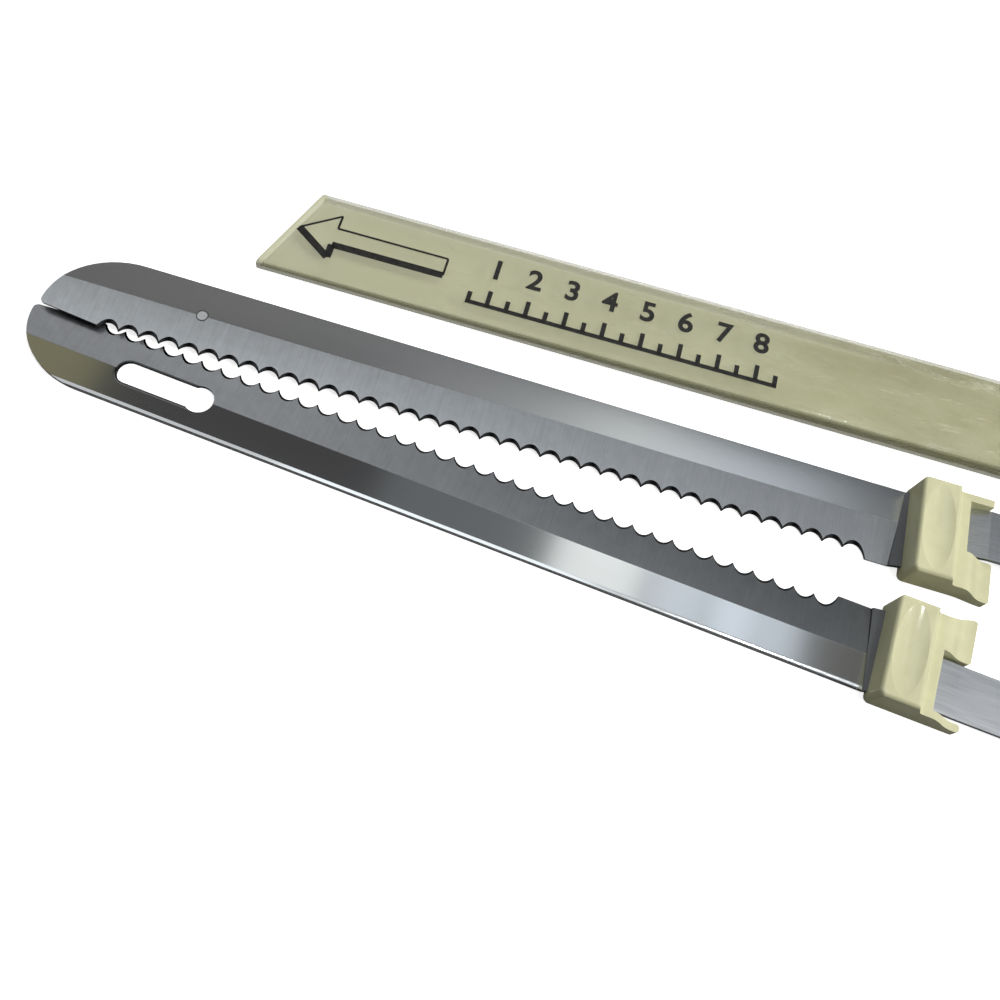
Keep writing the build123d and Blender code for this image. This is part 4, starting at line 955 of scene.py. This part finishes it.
class KNIFE_OT_stage(bpy.types.Operator):
    """Make the floor, the soft studio lights and the camera"""
    bl_idname = "knife.stage"
    bl_label = "Stage and camera"

    def execute(self, context):
        stage = context.scene.knife_stage
        context.scene.view_settings.view_transform = "Standard"
        self.floor(stage)
        self.dome(stage)
        for light in SOFT_LIGHTS:
            self.soft_light(stage, *light)
        self.camera(stage)
        return {"FINISHED"}

    def floor(self, stage):
        """A wide pale floor just under the table plane, which throws little light back."""
        mesh = bpy.data.meshes.new("floor")
        signs = ((-1, -1), (1, -1), (1, 1), (-1, 1))
        corners = [(x * FLOOR_REACH, y * FLOOR_REACH, FLOOR_DROP) for x, y in signs]
        mesh.from_pydata(corners, [], [(0, 1, 2, 3)])
        floor = bpy.data.objects.new("floor", mesh)
        bpy.context.scene.collection.objects.link(floor)
        look = Finish("pale_floor")
        seen = look.node("ShaderNodeLightPath").outputs["Is Camera Ray"]
        pale = look.tone(look.noise(FLOOR_WAVES), stage.floor_color, darker=0.99, lighter=1.0)
        look.set(
            Base_Color=look.blend(seen, (stage.floor_bounce,) * 3, pale),
            Roughness=0.9,
            Specular_IOR_Level=0.1,
            Emission_Color=FULL,
            Emission_Strength=look.times(seen, stage.floor_glow),
        )
        mesh.materials.append(look.material)

    def dome(self, stage):
        """Dim light from above and brighter light from low round the sides, seen pale by the camera."""
        world = bpy.data.worlds.new("studio_dome")
        world.use_nodes = True
        tree = world.node_tree
        background = tree.nodes["Background"]
        background.inputs["Color"].default_value = (*FULL, 1.0)
        axes = tree.nodes.new("ShaderNodeSeparateXYZ")
        tree.links.new(tree.nodes.new("ShaderNodeTexCoord").outputs["Generated"], axes.inputs[0])
        height = tree.nodes.new("ShaderNodeMapRange")
        height.inputs["From Min"].default_value = GLOW_END
        height.inputs["From Max"].default_value = DOME_START
        height.inputs["To Min"].default_value = stage.side_glow
        height.inputs["To Max"].default_value = stage.dome
        tree.links.new(axes.outputs[2], height.inputs["Value"])
        strength = tree.nodes.new("ShaderNodeMapRange")
        strength.inputs["To Max"].default_value = 1.0
        seen = tree.nodes.new("ShaderNodeLightPath").outputs["Is Camera Ray"]
        tree.links.new(height.outputs["Result"], strength.inputs["To Min"])
        tree.links.new(seen, strength.inputs["Value"])
        tree.links.new(strength.outputs["Result"], background.inputs["Strength"])
        bpy.context.scene.world = world

    def soft_light(self, stage, name, reach_x, reach_y, radiance, color):
        """A level rectangle of even light over the table."""
        size = [(high - low) * LIGHT_HEIGHT for low, high in (reach_x, reach_y)]
        middle = [(high + low) / 2 * LIGHT_HEIGHT for low, high in (reach_x, reach_y)]
        lamp = bpy.data.lights.new(name, "AREA")
        lamp.shape = "RECTANGLE"
        lamp.size, lamp.size_y = size
        lamp.energy = radiance * math.pi * size[0] * size[1] * stage.light_scale
        lamp.color = color
        light = bpy.data.objects.new(name, lamp)
        light.location = (*middle, LIGHT_HEIGHT)
        light.visible_camera = False
        bpy.context.scene.collection.objects.link(light)

    def camera(self, stage):
        """The camera where the photograph was taken from."""
        lens = bpy.data.cameras.new("camera")
        lens.sensor_width = SENSOR_WIDTH
        lens.lens = stage.lens
        lens.clip_start = NEAREST_SEEN
        lens.clip_end = FARTHEST_SEEN
        camera = bpy.data.objects.new("camera", lens)
        camera.location = stage.camera_place
        camera.rotation_euler = Euler(stage.camera_turn, "XYZ")
        bpy.context.scene.collection.objects.link(camera)
        bpy.context.scene.camera = camera


class KNIFE_PT_panel(bpy.types.Panel):
    """The knife's finishing steps in the sidebar"""
    bl_idname = "KNIFE_PT_panel"
    bl_label = "Carving Knife"
    bl_space_type = "VIEW_3D"
    bl_region_type = "UI"
    bl_category = "Carving Knife"

    def draw(self, context):
        for step in STEPS:
            self.layout.operator(step.bl_idname)
        for name in SETTINGS:
            box = self.layout.box()
            settings = getattr(context.scene, name)
            for key in settings.__annotations__:
                box.prop(settings, key)


STEPS = (
    KNIFE_OT_blades, KNIFE_OT_guards, KNIFE_OT_sheath, KNIFE_OT_housing, KNIFE_OT_motor, KNIFE_OT_drive,
    KNIFE_OT_stage,
)
SETTINGS = {
    "knife_steel": KnifeSteelSettings,
    "knife_plastic": KnifePlasticSettings,
    "knife_sheath": KnifeSheathSettings,
    "knife_stage": KnifeStageSettings,
}


def register():
    for group in (*SETTINGS.values(), *STEPS, KNIFE_PT_panel):
        bpy.utils.register_class(group)
    for name, group in SETTINGS.items():
        setattr(bpy.types.Scene, name, PointerProperty(type=group))


def unregister():
    for name in SETTINGS:
        delattr(bpy.types.Scene, name)
    for group in (KNIFE_PT_panel, *reversed(STEPS), *reversed(SETTINGS.values())):
        bpy.utils.unregister_class(group)


def main():
    register()
    for step in STEPS:
        area, name = step.bl_idname.split(".")
        getattr(getattr(bpy.ops, area), name)()


if __name__ == "__main__":
    main()
